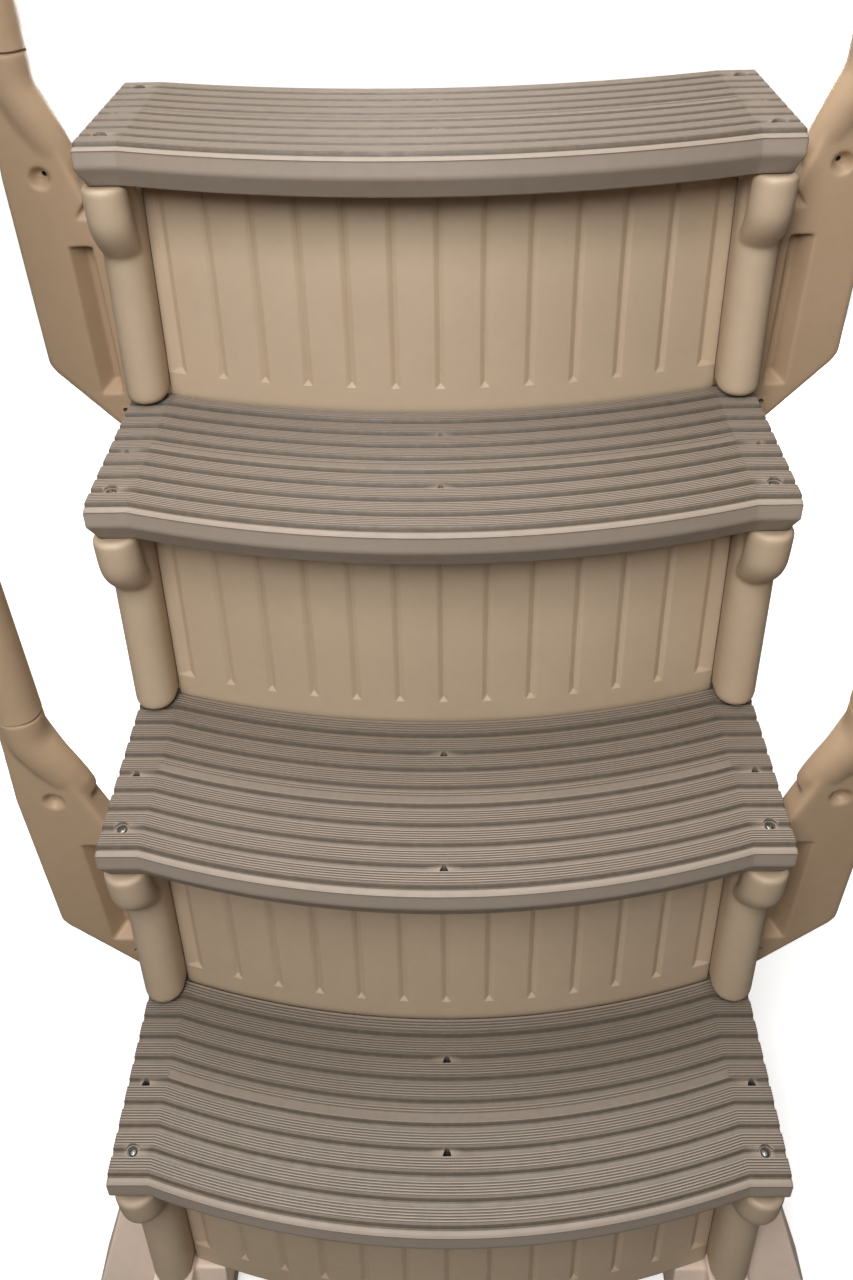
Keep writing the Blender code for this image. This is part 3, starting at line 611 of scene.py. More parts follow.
def steel(name, stretch):
    """Brushed stainless steel, with the brushing drawn out along one axis."""
    n = Nodes(bpy.data.materials.new(name))
    place = n.place(stretch)
    brush = n.noise(place, 60.0, 6.0, 0.7)
    blotch = n.noise(n.place(), 22.0, 3.0)
    tone = n.mix(n.ramp(brush, 0.3, 0.7), (0.24, 0.235, 0.22, 1), (0.36, 0.35, 0.335, 1))
    n.put(n.shader, "Base Color", n.mix(n.ramp(blotch, 0.45, 0.8, 0.0, 0.35), tone, (0.36, 0.33, 0.29, 1)))
    n.put(n.shader, "Metallic", 1.0)
    n.put(n.shader, "Roughness", n.ramp(brush, 0.2, 0.8, 0.34, 0.52))
    n.put(n.shader, "Normal", n.bump(brush, 0.30, 0.0001))
    return n.owner


SAND = plastic("sand_plastic", (0.540, 0.412, 0.287), (0.580, 0.447, 0.315), (0.27, 0.190, 0.12))
RAIL_SAND = plastic("rail_sand_plastic", (0.487, 0.342, 0.216), (0.522, 0.368, 0.236), (0.25, 0.163, 0.095))
# The legs' colour is a paler, pinker sand, and is also painted lighter to stand in for the light that their
# upward-facing wings catch.
PALE_AND_LIT_LEG_SAND = plastic("pale_and_lit_leg_sand_plastic", (0.880, 0.700, 0.570), (0.910, 0.730, 0.600), (0.34, 0.25, 0.18))
TAUPE = plastic(
    "taupe_plastic", (0.294, 0.239, 0.190), (0.319, 0.260, 0.209), (0.105, 0.083, 0.062),
    rough=(0.48, 0.62), edge=1.06, with_painted_shade=True
)
STEEL = steel("stainless", (1, 1, 1))
BRUSHED = steel("brushed_stainless", (30, 1, 1))


# Treads

def even(entries, y=0.0):
    """(y, z, painted shade) entries, moved by y, that are the same between the bends as beyond them."""
    return [(y + along, z, painted_shade, z, painted_shade) for along, z, painted_shade in entries]


def fine_ribs(start, pitch, count, plain=()):
    """Fine ribs from y = start forward, with a plain strip for some of them between the bends."""
    entries = []
    for rib in range(count):
        for share, low, painted_shade in FINE_PROFILE:
            z = -FINE_DEPTH * low
            inner = PLAIN if rib in plain else (z, painted_shade)
            entries.append((start - pitch * (rib + share), z, painted_shade, *inner))
    return entries


def tread_profile():
    """A tread's outline from its back edge forward over the top and back under it.

    An entry is (y, z, painted shade) beyond the bends and then (z, painted shade) between them.
    """
    profile = even(BACK_EDGE)
    start = TREAD_BACK - 0.0024
    last_channel = (GROOVES - 1) * GROOVE_PITCH + CHANNEL_BACK + ARRIS
    profile += fine_ribs(start, (start - last_channel) / (BACK_RIBS + BACK_END), BACK_RIBS)
    plank = GROOVE_PITCH - CHANNEL_BACK - CHANNEL_FRONT - 2 * ARRIS
    for groove in range(1, GROOVES):
        line = (GROOVES - groove) * GROOVE_PITCH
        profile += even(BEHIND_CHANNEL, line) + even(BEFORE_CHANNEL, line)
        plain = PLAIN_RIBS if groove == PLAIN_BAND else ()
        profile += fine_ribs(line - CHANNEL_FRONT - ARRIS, plank / (FINE_RIBS + FINE_END), FINE_RIBS, plain)
    profile += even(BEHIND_CHANNEL) + even(NOSE)
    plain_points = list(NOSE_FACE)
    for groove in range(UNDER_GROOVES):
        line = UNDER_GROOVE_Y + UNDER_GROOVE_PITCH * groove
        plain_points += [(line + y, -TREAD_THICKNESS + z) for y, z in UNDER_GROOVE]
    plain_points += BACK_FACE
    return profile + even([(y, z, 0.0) for y, z in plain_points])


def tread_stations():
    """The x of each column of a tread's vertices."""
    half = TREAD_WIDTH / 2
    right = [BEND_X * i / BOW_SPANS for i in range(1, BOW_SPANS)]
    right += [BEND_X + away for away in BEND_EASING]
    right += [half - 0.012, half - END_ROUND]
    right += [half - END_ROUND * share for share in (0.6, 0.3, 0.1)] + [half]
    return [-x for x in reversed(right)] + [0.0] + right


def tread_point(x, y, z, between):
    """Where a profile point lies at x: bowed, eased at the tread's ends, and drawn in below the nose."""
    side = copysign(1.0, x)
    half = TREAD_WIDTH / 2
    reach = abs(x)
    inside = half - reach
    ease = 0.0
    if inside < END_ROUND - 1e-9:
        ease = END_ROUND - sqrt(END_ROUND ** 2 - (END_ROUND - inside) ** 2)
    height = between if reach < BEND_X else z
    out = y
    if z > -NOSE_BOTTOM + 0.002:
        height -= ease * max(0.0, 1 + z / END_FADE)
    if y < -NOSE_REACH + 0.003:
        out += ease
    if z < -NOSE_BOTTOM and reach > BEND_X:
        inset = SKIRT_INSET * (-z - NOSE_BOTTOM) / (TREAD_THICKNESS - NOSE_BOTTOM)
        reach = BEND_X + (reach - BEND_X) * (half - inset - BEND_X) / (half - BEND_X)
    return (side * reach, out + bow(x), height)


def tread_blank():
    """A tread at the lip line and top surface, before its holes."""
    profile = tread_profile()
    bm = bmesh.new()
    # Each vertex carries its profile point's painted shade value.
    painted_shade = bm.verts.layers.float.new("painted_shade")
    columns = []
    for x in tread_stations():
        column = []
        for y, z, dirt_and_shade, inner_z, inner_shade in profile:
            vertex = bm.verts.new(tread_point(x, y, z, inner_z))
            vertex[painted_shade] = inner_shade if abs(x) < BEND_X else dirt_and_shade
            column.append(vertex)
        columns.append(column)
    for first, second in zip(columns, columns[1:]):
        for i, vertex in enumerate(first):
            j = (i + 1) % len(first)
            bm.faces.new((vertex, first[j], second[j], second[i]))
    lowest = [i for i, point in enumerate(profile) if point[1] <= -NOSE_BOTTOM + 1e-6]
    for column in (columns[0], columns[-1]):
        bm.faces.new([column[i] for i in lowest])
        bm.faces.new([v for i, v in enumerate(column) if i <= lowest[0] or i >= lowest[-1]])
    return mesh_of(bm, "tread")


def drain_cutter(x, y):
    """A half-round drain: straight along its channel's front wall and rounded behind."""
    front = y - CHANNEL_FRONT + 0.0006
    angles = [radians(angle) for angle in range(0, 181, 12)]
    outline = [(x + DRAIN_RADIUS * cos(a), front + DRAIN_REACH * sin(a)) for a in angles]
    cutter = lofted("drain", [[(px, py, z) for px, py in outline] for z in (CLEAR, -TREAD_THICKNESS - CLEAR)])
    # The drain's walls are painted fully shaded, for the shade inside the hole.
    painted_shade = cutter.attributes.new("painted_shade", "FLOAT", "POINT")
    painted_shade.data.foreach_set("value", [1.0] * len(cutter.vertices))
    return cutter


def tread_holes(step):
    """The cuts in one tread: stepped screw seats and drains."""
    ends = []
    rows = [FRONT_SCREW_Y] + ([BACK_SCREW_Y] if step == STEPS else [])
    for side in SIDES.values():
        for y in rows:
            x = side * SCREW_X
            ends.append(((x, y, CLEAR), (x, y, -SEAT_DEPTH), SEAT_RADIUS + 0.0003, SEAT_RADIUS))
            hole = (x, y, -0.003), (x, y, -SCREW_HOLE_DEPTH)
            ends.append((*hole, SEAT_RADIUS - 0.0016, SEAT_RADIUS - 0.0018))
    drains = [(side * SIDE_DRAIN[0], SIDE_DRAIN[1]) for side in SIDES.values()]
    centres = LOW_CENTRE_DRAINS_Y if step == LOW_DRAIN_STEP else CENTRE_DRAINS_Y
    drains += [(0, y + bow(0)) for y in centres]
    return cuts([rods("tread_holes", [end]) for end in ends] + [drain_cutter(x, y) for x, y in drains])


def make_treads():
    blank = tread_blank()
    for step in range(1, STEPS + 1):
        mesh = carve("tread", blank.copy(), tread_holes(step))
        mesh.transform(Matrix.Translation((0, lip_y(step), tread_top(step))))
        piece(f"tread_{step}", mesh, TAUPE)


# Risers

def flute_profile(share):
    """A flute's depth from its edge (0) to its middle (1): shallow at first, then steep."""
    if share < 0.5:
        return FLUTE_DEPTH * FLUTE_SHELF * share * 2
    return FLUTE_DEPTH * (FLUTE_SHELF + (1 - FLUTE_SHELF) * (share * 2 - 1))


def flute_depth(x, z, low, high):
    """How deep the riser's upright flutes cut at x, with a sloping end at the foot and at the head."""
    deepest = 0.0
    for flute in range(RISER_FLUTES):
        middle = (flute - RISER_FLUTES // 2) * FLUTE_PITCH
        away = (x - middle) * (copysign(1.0, middle) if middle else 1.0)
        if flute in (0, RISER_FLUTES - 1) and away > 0:
            depth = FLUTE_DEPTH * (1 - away / END_FLUTE_OUT)
        else:
            depth = flute_profile(max(0.0, 1 - abs(away) / FLUTE_HALF))
        deepest = max(deepest, depth)
    ends = min(z - low - FLUTE_FOOT, high - FLUTE_HEAD - z) / FLUTE_RAMP * FLUTE_DEPTH
    return max(0.0, min(deepest, ends))


def riser_columns(half):
    """The x of each column of a riser's grid: its edges and the bends of every flute."""
    columns = {-half, half}
    for flute in range(RISER_FLUTES):
        middle = (flute - RISER_FLUTES // 2) * FLUTE_PITCH
        for share in (-1, -0.5, 0, 0.5, 1):
            columns.add(round(middle + share * FLUTE_HALF, 6))
        columns.add(round(middle + FLUTE_PITCH / 2, 6))
    last = FLUTE_PITCH * (RISER_FLUTES // 2)
    for away in (last + END_FLUTE_OUT * (1 - FLUTE_SHELF), last + END_FLUTE_OUT, half - 0.003):
        columns |= {-away, away}
    return sorted(x for x in columns if abs(x) <= half)


def riser_rows(low, high):
    """The z of each row of a riser's grid: its edges and the bends of the flutes' ends."""
    rows = {low, low + 0.004, high}
    rows |= {low + FLUTE_FOOT + FLUTE_RAMP * share for share in (-0.2, 0, FLUTE_SHELF, 1)}
    rows |= {high - FLUTE_HEAD - FLUTE_RAMP * share for share in (1, FLUTE_SHELF, 0)}
    return sorted(rows)


def split_grid(bm, grid, depths):
    """Faces over a grid of vertices, each square split along the diagonal that follows the flutes."""
    for r in range(len(grid) - 1):
        for c in range(len(grid[0]) - 1):
            a, b = grid[r][c], grid[r][c + 1]
            d, e = grid[r + 1][c], grid[r + 1][c + 1]
            if abs(depths[r][c] - depths[r + 1][c + 1]) > abs(depths[r][c + 1] - depths[r + 1][c]):
                halves = (a, b, e), (a, e, d)
            else:
                halves = (a, b, d), (b, e, d)
            for corners in halves:
                bm.faces.new(corners)


def riser_mesh(low, high):
    """A leaning, bowed panel with flutes in its front and, half as deep, in its back."""
    foot_y = high.y - LEAN * (high.z - low.z) - RISER_THICKNESS
    rows = riser_rows(low.z, high.z)
    columns = riser_columns(high.x)
    depths = [[flute_depth(x, z, low.z, high.z) for x in columns] for z in rows]
    bm = bmesh.new()
    rims = []
    for back, share in ((0.0, 1.0), (RISER_THICKNESS, -0.5)):
        grid = []
        for z, row in zip(rows, depths):
            line_y = foot_y + LEAN * (z - low.z)
            places = [(x, line_y + bow(x) + back + share * depth, z) for x, depth in zip(columns, row)]
            grid.append([bm.verts.new(place) for place in places])
        split_grid(bm, grid, depths)
        right, left = [line[-1] for line in grid[1:]], [line[0] for line in grid[-2:0:-1]]
        rims.append(grid[0] + right + grid[-1][-2::-1] + left)
    front, rear = rims
    for i, vertex in enumerate(front):
        j = (i + 1) % len(front)
        bm.faces.new((vertex, front[j], rear[j], rear[i]))
    return mesh_of(bm, "riser")


def make_risers():
    for step in range(1, STEPS + 1):
        obj = object_of("riser", riser_mesh(*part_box(f"riser_panel_{step}")))
        add_modifier(obj, "BEVEL", width=ARRIS, segments=2, limit_method="ANGLE", angle_limit=FLUTE_BEND)
        piece(f"riser_panel_{step}", baked(obj), SAND)


# Posts

def post_ring(height, z, inset):
    """One level of a post at z over its foot: a half circle in front and flat sides behind it."""
    radius = POST_RADIUS - inset
    lean = LEAN * z
    ring = []
    for i in range(POST_ARC + 1):
        angle = pi * i / POST_ARC
        ring.append((radius * cos(angle), POST_Y + lean - radius * sin(angle), z - height))
    back = POST_BACK_Y + lean - inset
    front = POST_Y + lean
    corners = rounded([(radius, front), (-radius, front), (-radius, back), (radius, back)], 0.005, 3)
    return ring + [(corner.x, corner.y, z - height) for corner in corners[-8:]]


def boss_rings():
    """Level rings down a boss: an eased rim, a straight side, then an end that swings back into the post."""
    angles = [tau * i / BOSS_ARC for i in range(BOSS_ARC)]
    return [
        [(radius * cos(a), y + radius * sin(a), z) for a in angles] for z, y, radius in BOSS_PATH
    ]


def post_blank(height):
    """A right-hand post under its own top: a leaning post, an upright boss and a web, blended together."""
    rings = []
    for angle in quarter(6):
        rise = POST_FOOT_RADIUS * (1 - cos(angle))
        rings.append(post_ring(height, rise, POST_FOOT_RADIUS * (1 - sin(angle))))
    rings.append(post_ring(height, height, 0.0))
    post = lofted("post", rings)
    boss = lofted("boss", boss_rings())
    web = lofted("web", [
        [(*corner, z) for corner in rectangle(-half, front, half, back)]
        for z, half, front, back in WEB
    ])
    return softened("post", carve("post", post, [("UNION", boss), ("UNION", web)]), 0.0019, 26, 0.35)


def gusset_blank():
    """The little three-cornered web that ties a post's side to the riser just under the tread."""
    mesh = lofted("gusset", [
        [(outer, outer_y, z), (inner, inner_y, z), (inner, GUSSET_BACK_Y, z), (outer, GUSSET_BACK_Y, z)]
        for z, outer, inner, outer_y, inner_y in GUSSET
    ])
    obj = object_of("gusset", mesh)
    add_modifier(obj, "BEVEL", width=0.0009, segments=2, limit_method="ANGLE")
    return baked(obj)


def make_posts():
    low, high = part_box("post_right_2")
    blank = post_blank(high.z - low.z)
    gusset = gusset_blank()
    for step in range(1, STEPS + 1):
        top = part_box(f"post_right_{step}")[1].z
        right = moved(blank, (POST_X, lip_y(step), top))
        pair("post", right, SAND, 0.9, f"_{step}")
        for side_name, side in SIDES.items():
            web = moved(gusset, (0, lip_y(step), top))
            web = web if side > 0 else mirrored(web)
            extra = object_of(f"post_gusset_{side_name}_{step}", web)
            web.materials.append(SAND)
            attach(extra, "ladder")


# Rail brackets and handrails

def recess_cutter():
    """The bracket's recess: a rectangle at its mouth, drafted to a smaller one at its floor."""
    front = BRACKET_FRONT_Y
    rings = []
    for y, xs, zs in (
        (front - 0.01, RECESS_X, RECESS_Z), (front, RECESS_X, RECESS_Z),
        (front + RECESS_DEPTH, RECESS_FLOOR_X, RECESS_FLOOR_Z),
    ):
        corners = rectangle(xs[0], zs[0], xs[1], zs[1])
        rings.append([(p[0], y, p[1]) for p in rounded(corners, 0.003, 3)])
    return lofted("recess", rings)


def bracket_blank(upper):
    """A right-hand bracket from the lip line and its datum, softened like a blown moulding."""
    front = BRACKET_FRONT_Y
    board = plate("bracket", [rounded(BRACKET_CORNERS, 0.006, 3)], BRACKET_DEPTH, 0.005, FACING)
    board.transform(Matrix.Translation((0, front + BRACKET_DEPTH / 2, 0)))
    ridge = tube("ridge", [point[:3] for point in RIDGE], [point[3] for point in RIDGE])
    soft = softened("bracket", carve("bracket", board, [("UNION", ridge)]), 0.0022, 12)
    cutters = [recess_cutter()]
    if upper:
        cutters.append(lofted("facet", [[(px, front + py, pz) for px, pz in mouth] for py, mouth in FACET]))
    x, z = DIMPLE
    cutters.append(rods("dimple", [((x, front - 0.004, z), (x, front + 0.009, z), 0.0165, 0.0055)]))
    mesh = softened("bracket", carve("bracket", soft, cuts(cutters)), 0.0018, 4, 0.40)
    holes = [(*CORNER_HOLE, -0.01, 0.06, CORNER_HOLE_RADIUS)]
    if upper:
        holes.append((x - 0.004, z + 0.003, -0.001, 0.034, DIMPLE_HOLE_RADIUS))
    return carve("bracket", mesh, cuts(
        rods("hole", [((hx, front + start, hz), (hx, front + end, hz), radius, radius)])
        for hx, hz, start, end, radius in holes
    ))


def bracket_datum(level):
    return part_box(f"rail_bracket_{level}_right")[1].z - BRACKET_DATUM_DROP


def make_brackets():
    for level, step in BRACKET_STEPS.items():
        right = moved(bracket_blank(level == "upper"), (0, lip_y(step), bracket_datum(level)))
        pair(f"rail_bracket_{level}", right, RAIL_SAND, 0.9)


def make_handrails():
    """A round rail that rises from the lower neck, arches over and comes down on the upper neck."""
    front, back = (lip_y(step) + NECK_Y for step in BRACKET_STEPS.values())
    feet = [bracket_datum(level) + NECK_TOP + GAP for level in BRACKET_STEPS]
    radius = (back - front) / 2
    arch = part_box("handrail_right")[1].z - TUBE_RADIUS - radius
    ends = [[(NECK_X, y, foot + up) for up in (0, RAIL_LIP, 0.02)] for y, foot in zip((front, back), feet)]
    points = ends[0]
    middle = (front + back) / 2
    for i in range(RAIL_ARC + 1):
        angle = pi * (1 - i / RAIL_ARC)
        points.append((NECK_X, middle + radius * cos(angle), arch + radius * sin(angle)))
    points += reversed(ends[1])
    radii = [TUBE_RADIUS] * len(points)
    radii[0] = radii[-1] = TUBE_RADIUS - RAIL_LIP
    bore = TUBE_RADIUS - RAIL_WALL
    right = carve("rail", tube("rail", points, radii, 14), cuts(
        rods("bore", [((NECK_X, y, foot - 0.01), (NECK_X, y, foot + RAIL_BORE_DEPTH), bore, bore)], 40)
        for y, foot in zip((front, back), feet)
    ))
    pair("handrail", right, RAIL_SAND, 0.7)


# Side panels and base

def window_rows(step):
    """(lowest, highest) z of the windows under one tread."""
    high = tread_top(step) - TREAD_THICKNESS - WINDOW_HEAD
    rise = tread_top(2) - tread_top(1)
    return max(high - rise + WINDOW_BAR, WINDOW_HEAD), high


def dent_cutter(middle, stretch):
    """A round-ended upright bar whose straight part runs from -stretch to stretch."""
    profile = [(DENT_RADIUS * cos(a), DENT_RADIUS * sin(a)) for a in quarter(6)[:-1]]
    points = [(0, stretch + DENT_RADIUS)] + [(r, z + stretch) for r, z in reversed(profile)]
    points += [(r, -z - stretch) for r, z in profile] + [(0, -stretch - DENT_RADIUS)]
    return moved(turned("dent", points, 22), middle)


def make_side_panels():
    """Stepped boards with rows of round-cornered windows and an upright dent between two windows."""
    low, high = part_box("side_panel_right")
    outline = [(high.y, 0.0), (high.y, high.z)]
    for step in range(STEPS, 0, -1):
        front = lip_y(step) + SIDE_FRONT_Y
        outline.append((front, tread_top(step) - TREAD_THICKNESS - GAP))
        outline.append((front, tread_top(step - 1) - TREAD_THICKNESS - GAP if step > 1 else 0.0))
    windows = []
    dents = []
    for step in range(1, STEPS + 1):
        foot, head = window_rows(step)
        for column in range(step, STEPS + 1):
            near = lip_y(column) + SIDE_FRONT_Y + WINDOW_INSET
            windows.append(rounded(rectangle(near, foot, near + WINDOW_WIDTH, head), WINDOW_ROUND, 6))
            if column > step:
                y = near - WINDOW_INSET - DENT_AHEAD
                start, end = foot + DENT_END, head - DENT_END
                for x in (low.x - DENT_PROUD, high.x + DENT_PROUD):
                    middle = (Vector((x, y, start)) + Vector((x, y, end))) / 2
                    dents.append(dent_cutter(middle, (end - start) / 2))
    board = plate("side_panel", [rounded(outline, 0.007, 3)] + windows, high.x - low.x, 0.0045, SIDEWAYS)
    board.transform(Matrix.Translation(((low.x + high.x) / 2, 0, 0)))
    right = merged(carve("side_panel", board, cuts(dents)), "side_panel", repair=True)
    pair("side_panel", right, SAND)


def leg_blank(place):
    """A right-hand leg: an inner stub under the riser and a wing that flares out to the floor."""
    low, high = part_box(f"base_leg_{place}_right")
    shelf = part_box("post_right_1")[0].z - 2 * GAP
    riser_low, riser_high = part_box("riser_panel_1")
    inner, stub = FRONT_LEG_INNER_X, riser_low.z - GAP
    if place == "rear":
        inner, stub, shelf = REAR_LEG
    end = riser_high.x + GAP
    outline = rounded([
        (low.x, 0.0), (low.x, stub), (end, stub), (end, shelf), (inner, shelf),
        (inner, high.z - 0.004), (inner + 0.008, high.z), (high.x, 0.012), (high.x, 0.0),
    ], 0.0045, 3)
    board = plate("leg", [outline], high.y - low.y, 0.0018, FACING)
    board.transform(Matrix.Translation((0, (low.y + high.y) / 2, 0)))
    if place == "rear":
        return board
    head = high.y - 0.010
    slope = (head - low.y) / high.z
    ahead = low.y - 0.03
    below, above = -0.01, high.z + 0.02
    profile = [(ahead, below), (low.y - 0.01 * slope, below), (head + 0.02 * slope, above), (ahead, above)]
    wedge = lofted("wedge", [[(x, y, z) for y, z in profile] for x in (low.x - 0.01, high.x + 0.01)])
    near, far, rear = end + GAP, inner + 0.004, high.y - 0.008
    corners = [(near, low.y), (near, rear), (far, rear), (far, low.y)]
    toe = plate("toe", [rounded(corners, 0.006, 3)], shelf - GAP, 0.002, LEVEL)
    toe.transform(Matrix.Translation((0, 0, (shelf - GAP) / 2)))
    return softened("leg", carve("leg", board, [("DIFFERENCE", wedge), ("UNION", toe)]), 0.0022, 5, 0.25)


def make_legs():
    for place in ("front", "rear"):
        pair(f"base_leg_{place}", leg_blank(place), PALE_AND_LIT_LEG_SAND)
        low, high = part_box(f"base_crossbar_{place}")
        section = rounded(rectangle(low.y, low.z, high.y, high.z), 0.006, 4)
        bar = plate("crossbar", [section], high.x - low.x, 0.002, SIDEWAYS)
        piece(f"base_crossbar_{place}", bar, SAND)


# Fasteners and deck brackets

def cross_screw(head, rise, shank, length):
    """A pan-head screw with a cross recess. Its head rests on z = 0 and its shank points down."""
    profile = [(0.0, rise)]
    profile += [(head * sin(a), rise * (0.35 + 0.65 * cos(a))) for a in quarter(6)[1:]]
    profile += [(head, 0.0), (shank, 0.0)]
    pitch = shank * 0.9
    for turn in range(int((length - 3 * shank) / pitch)):
        z = -0.0015 - turn * pitch
        profile += [(shank * 0.74, z), (shank, z - pitch * 0.45), (shank * 0.74, z - pitch * 0.7)]
    profile += [(shank * 0.7, -length + 2 * shank), (0.0, -length)]
    body = turned("screw", profile, 24)
    slots = []
    for crossed in (False, True):
        rings = []
        for z, reach in ((rise + 0.001, 1.25), (rise - 0.0018, 0.60)):
            x, y = head * 0.17, head * 0.66 * reach
            if crossed:
                x, y = y, x
            rings.append([(*corner, z) for corner in rectangle(-x, -y, x, y)])
        slots.append(lofted("slot", rings))
    return carve("screw", body, cuts(slots))


def hex_bolt(across, rise, washer, shank, length):
    """A hexagon bolt with a washer face, standing on z = 0."""
    corner = across * 0.5
    head = turned("bolt_head", [
        (0, rise), (across * 0.42, rise), (corner, rise * 0.86), (corner, rise * 0.3), (0, rise * 0.3)
    ], 6)
    obj = object_of("bolt_head", head)
    add_modifier(obj, "BEVEL", width=across * 0.03, segments=2, limit_method="ANGLE")
    head = baked(obj)
    disc = turned("washer", [
        (0, rise * 0.34), (washer * 0.94, rise * 0.34), (washer, rise * 0.26), (washer, 0), (shank, 0),
        (shank, -length + shank), (shank * 0.6, -length), (0, -length),
    ], 32)
    return carve("bolt", head, [("UNION", disc)])


def fasten(node, blank, seat, direction, spin):
    turn = Vector(direction).to_track_quat("Z", "Y").to_matrix().to_4x4() @ Matrix.Rotation(spin, 4, "Z")
    mesh = blank.copy()
    mesh.transform(Matrix.Translation(seat) @ turn)
    piece(node, mesh, STEEL)


def make_fasteners():
    """Screws and bolts with their heads where the solids' heads are, each turned by its own angle."""
    tread_screw = cross_screw(0.0045, 0.0026, 0.0024, 0.060)
    rail_screw = cross_screw(0.0040, RAIL_SCREW_RISE, 0.0020, 0.016)
    bracket_bolt = hex_bolt(0.0112, BRACKET_BOLT_RISE, 0.0065, 0.0040, 0.058)
    deck_bolt = hex_bolt(0.0128, DECK_BOLT_RISE, 0.0075, 0.0040, 0.030)
    for number, node in enumerate(sorted(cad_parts)):
        low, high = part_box(node)
        middle = (low + high) / 2
        spin = number * 1.1
        if node.startswith("tread_screw"):
            fasten(node, tread_screw, (middle.x, middle.y, high.z - TREAD_SCREW_RISE), (0, 0, 1), spin)
        elif node.startswith("rail_screw"):
            fasten(node, rail_screw, (middle.x, high.y - RAIL_SCREW_RISE, middle.z), (0, 1, 0), spin)
        elif node.startswith("bracket_bolt"):
            inward = -1 if middle.x > 0 else 1
            seat_x = (low.x if inward < 0 else high.x) - inward * BRACKET_BOLT_RISE
            fasten(node, bracket_bolt, (seat_x, middle.y, middle.z), (inward, 0, 0), spin)
        elif node.startswith("deck_bolt"):
            fasten(node, deck_bolt, (middle.x, high.y - DECK_BOLT_RISE, middle.z), (0, 1, 0), spin)


def slot_outline(middle, under):
    """The upright slot in a deck bracket's leg, with round ends."""
    outline = []
    for end, first, inward in zip(SLOT_Z, (pi, 0), (SLOT_RADIUS, -SLOT_RADIUS)):
        for i in range(9):
            angle = pi * i / 8 + first
            x, z = SLOT_RADIUS * cos(angle), SLOT_RADIUS * sin(angle)
            outline.append((middle + x, under + end + z + inward))
    return outline


def make_deck_brackets():
    """Folded stainless angles: a slotted leg that slides on its bolts and a flange for the pool deck."""
    for side_name in SIDES:
        node = f"deck_bracket_{side_name}"
        low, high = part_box(node)
        under = high.z - SHEET
        outline = [
            (low.y, low.z), (low.y + SHEET, low.z), (low.y + SHEET, under), (high.y, under), (high.y, high.z),
            (low.y, high.z),
        ]
        bar = plate(node, [rounded(outline, 0.004, 6)], high.x - low.x, 0.0008, SIDEWAYS)
        middle = (low.x + high.x) / 2
        bar.transform(Matrix.Translation((middle, 0, 0)))
        cut = plate("slot", [slot_outline(middle, under)], 0.03, 0.0005, FACING)
        cut.transform(Matrix.Translation((0, low.y, 0)))
        cutters = [cut]
        hole = (under - 0.01, under + 0.02, DECK_HOLE_RADIUS)
        sink = (high.z - 0.0018, high.z + 0.001, DECK_SINK_RADIUS)
        for y in DECK_HOLES_Y:
            for start, end, radius in (hole, sink):
                bottom, top = (middle, low.y + y, start), (middle, low.y + y, end)
                cutters.append(rods("hole", [(bottom, top, DECK_HOLE_RADIUS, radius)]))
        piece(node, carve(node, bar, cuts(cutters)), BRUSHED, body=node)


# Stage: floor, light and camera

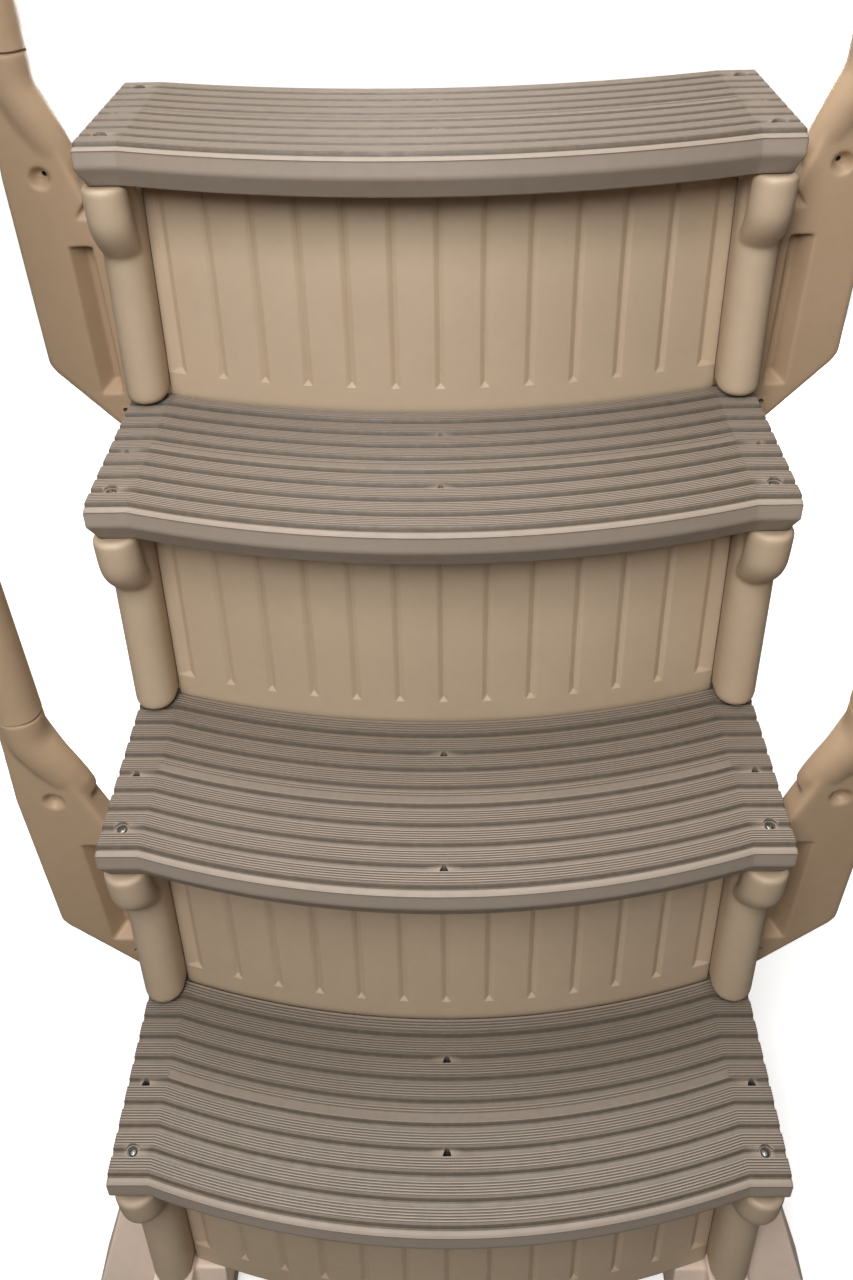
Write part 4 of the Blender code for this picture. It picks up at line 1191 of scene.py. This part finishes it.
def make_floor():
    """A pale floor that turns white with distance, for the camera alone."""
    n = Nodes(bpy.data.materials.new("studio_floor"))
    tone = n.mix(n.noise(n.place(), 2.0, 4.0), (0.88, 0.875, 0.865, 1), (0.92, 0.915, 0.905, 1))
    seen = n.add("LightPath").outputs["Is Camera Ray"]
    n.put(n.shader, "Base Color", n.mix(seen, (0.16, 0.15, 0.14, 1), tone))
    n.put(n.shader, "Roughness", 0.8)
    n.put(n.shader, "Emission Color", (1, 1, 1, 1))
    where = n.add("NewGeometry").outputs["Position"]
    away = n.add("VectorMath", {"Vector": where}, operation="LENGTH").outputs["Value"]
    n.put(n.shader, "Emission Strength", n.math("MULTIPLY", seen, n.ramp(away, 1.6, 5.0, 0.45, 1.0)))
    bm = bmesh.new()
    bmesh.ops.create_grid(bm, x_segments=8, y_segments=8, size=FLOOR_SIZE / 2)
    floor = object_of("floor", mesh_of(bm, "floor"))
    floor.data.materials.append(n.owner)
    floor.location.z = -0.0005


def make_world():
    """Faint warm light, strongest from above, behind a background that the camera sees as white."""
    world = bpy.data.worlds.new("studio")
    bpy.context.scene.world = world
    n = Nodes(world, "Background")
    towards = n.add("SeparateXYZ", {0: n.add("TexCoord").outputs["Generated"]})
    sky = n.add("MapRange", {
        "Value": towards.outputs["Z"], "From Min": -0.05, "From Max": 0.9, "To Min": 0.25, "To Max": 1.0
    })
    n.put(n.shader, "Color", n.mix(sky.outputs[0], (0, 0, 0, 1), (1.0, 0.92, 0.80, 1)))
    n.put(n.shader, "Strength", AMBIENT)
    white = n.add("Background", {"Color": (1, 1, 1, 1), "Strength": 1.05})
    seen = n.add("LightPath").outputs["Is Camera Ray"]
    pick = n.add("MixShader", {0: seen, 1: n.shader.outputs[0], 2: white.outputs[0]})
    n.put(n.tree.nodes["World Output"], "Surface", pick.outputs[0])
    bpy.context.scene.view_settings.view_transform = "Standard"


def make_lights():
    for name, place, aim, size, power in LIGHTS:
        light = bpy.data.lights.new(name, "AREA")
        light.size = size
        light.energy = power
        lamp = object_of(name, light)
        lamp.location = place
        lamp.rotation_mode = "QUATERNION"
        lamp.rotation_quaternion = (Vector(aim) - Vector(place)).to_track_quat("-Z", "Y")


def make_camera():
    """A standing climber's view, looking down the steps."""
    data = bpy.data.cameras.new("camera")
    data.sensor_width = 36.0
    data.lens = CAMERA_LENS
    camera = object_of("camera", data)
    pitch, yaw, roll = (radians(angle) for angle in CAMERA_TURN)
    turn = Matrix.Rotation(yaw, 3, "Z") @ Matrix.Rotation(radians(90) - pitch, 3, "X")
    turn = turn @ Matrix.Rotation(roll, 3, "Z")
    camera.matrix_world = Matrix.Translation(CAMERA_PLACE) @ turn.to_4x4()
    bpy.context.scene.camera = camera


make_treads()
make_risers()
make_posts()
make_brackets()
make_handrails()
make_side_panels()
make_legs()
make_fasteners()
make_deck_brackets()
make_floor()
make_world()
make_lights()
make_camera()
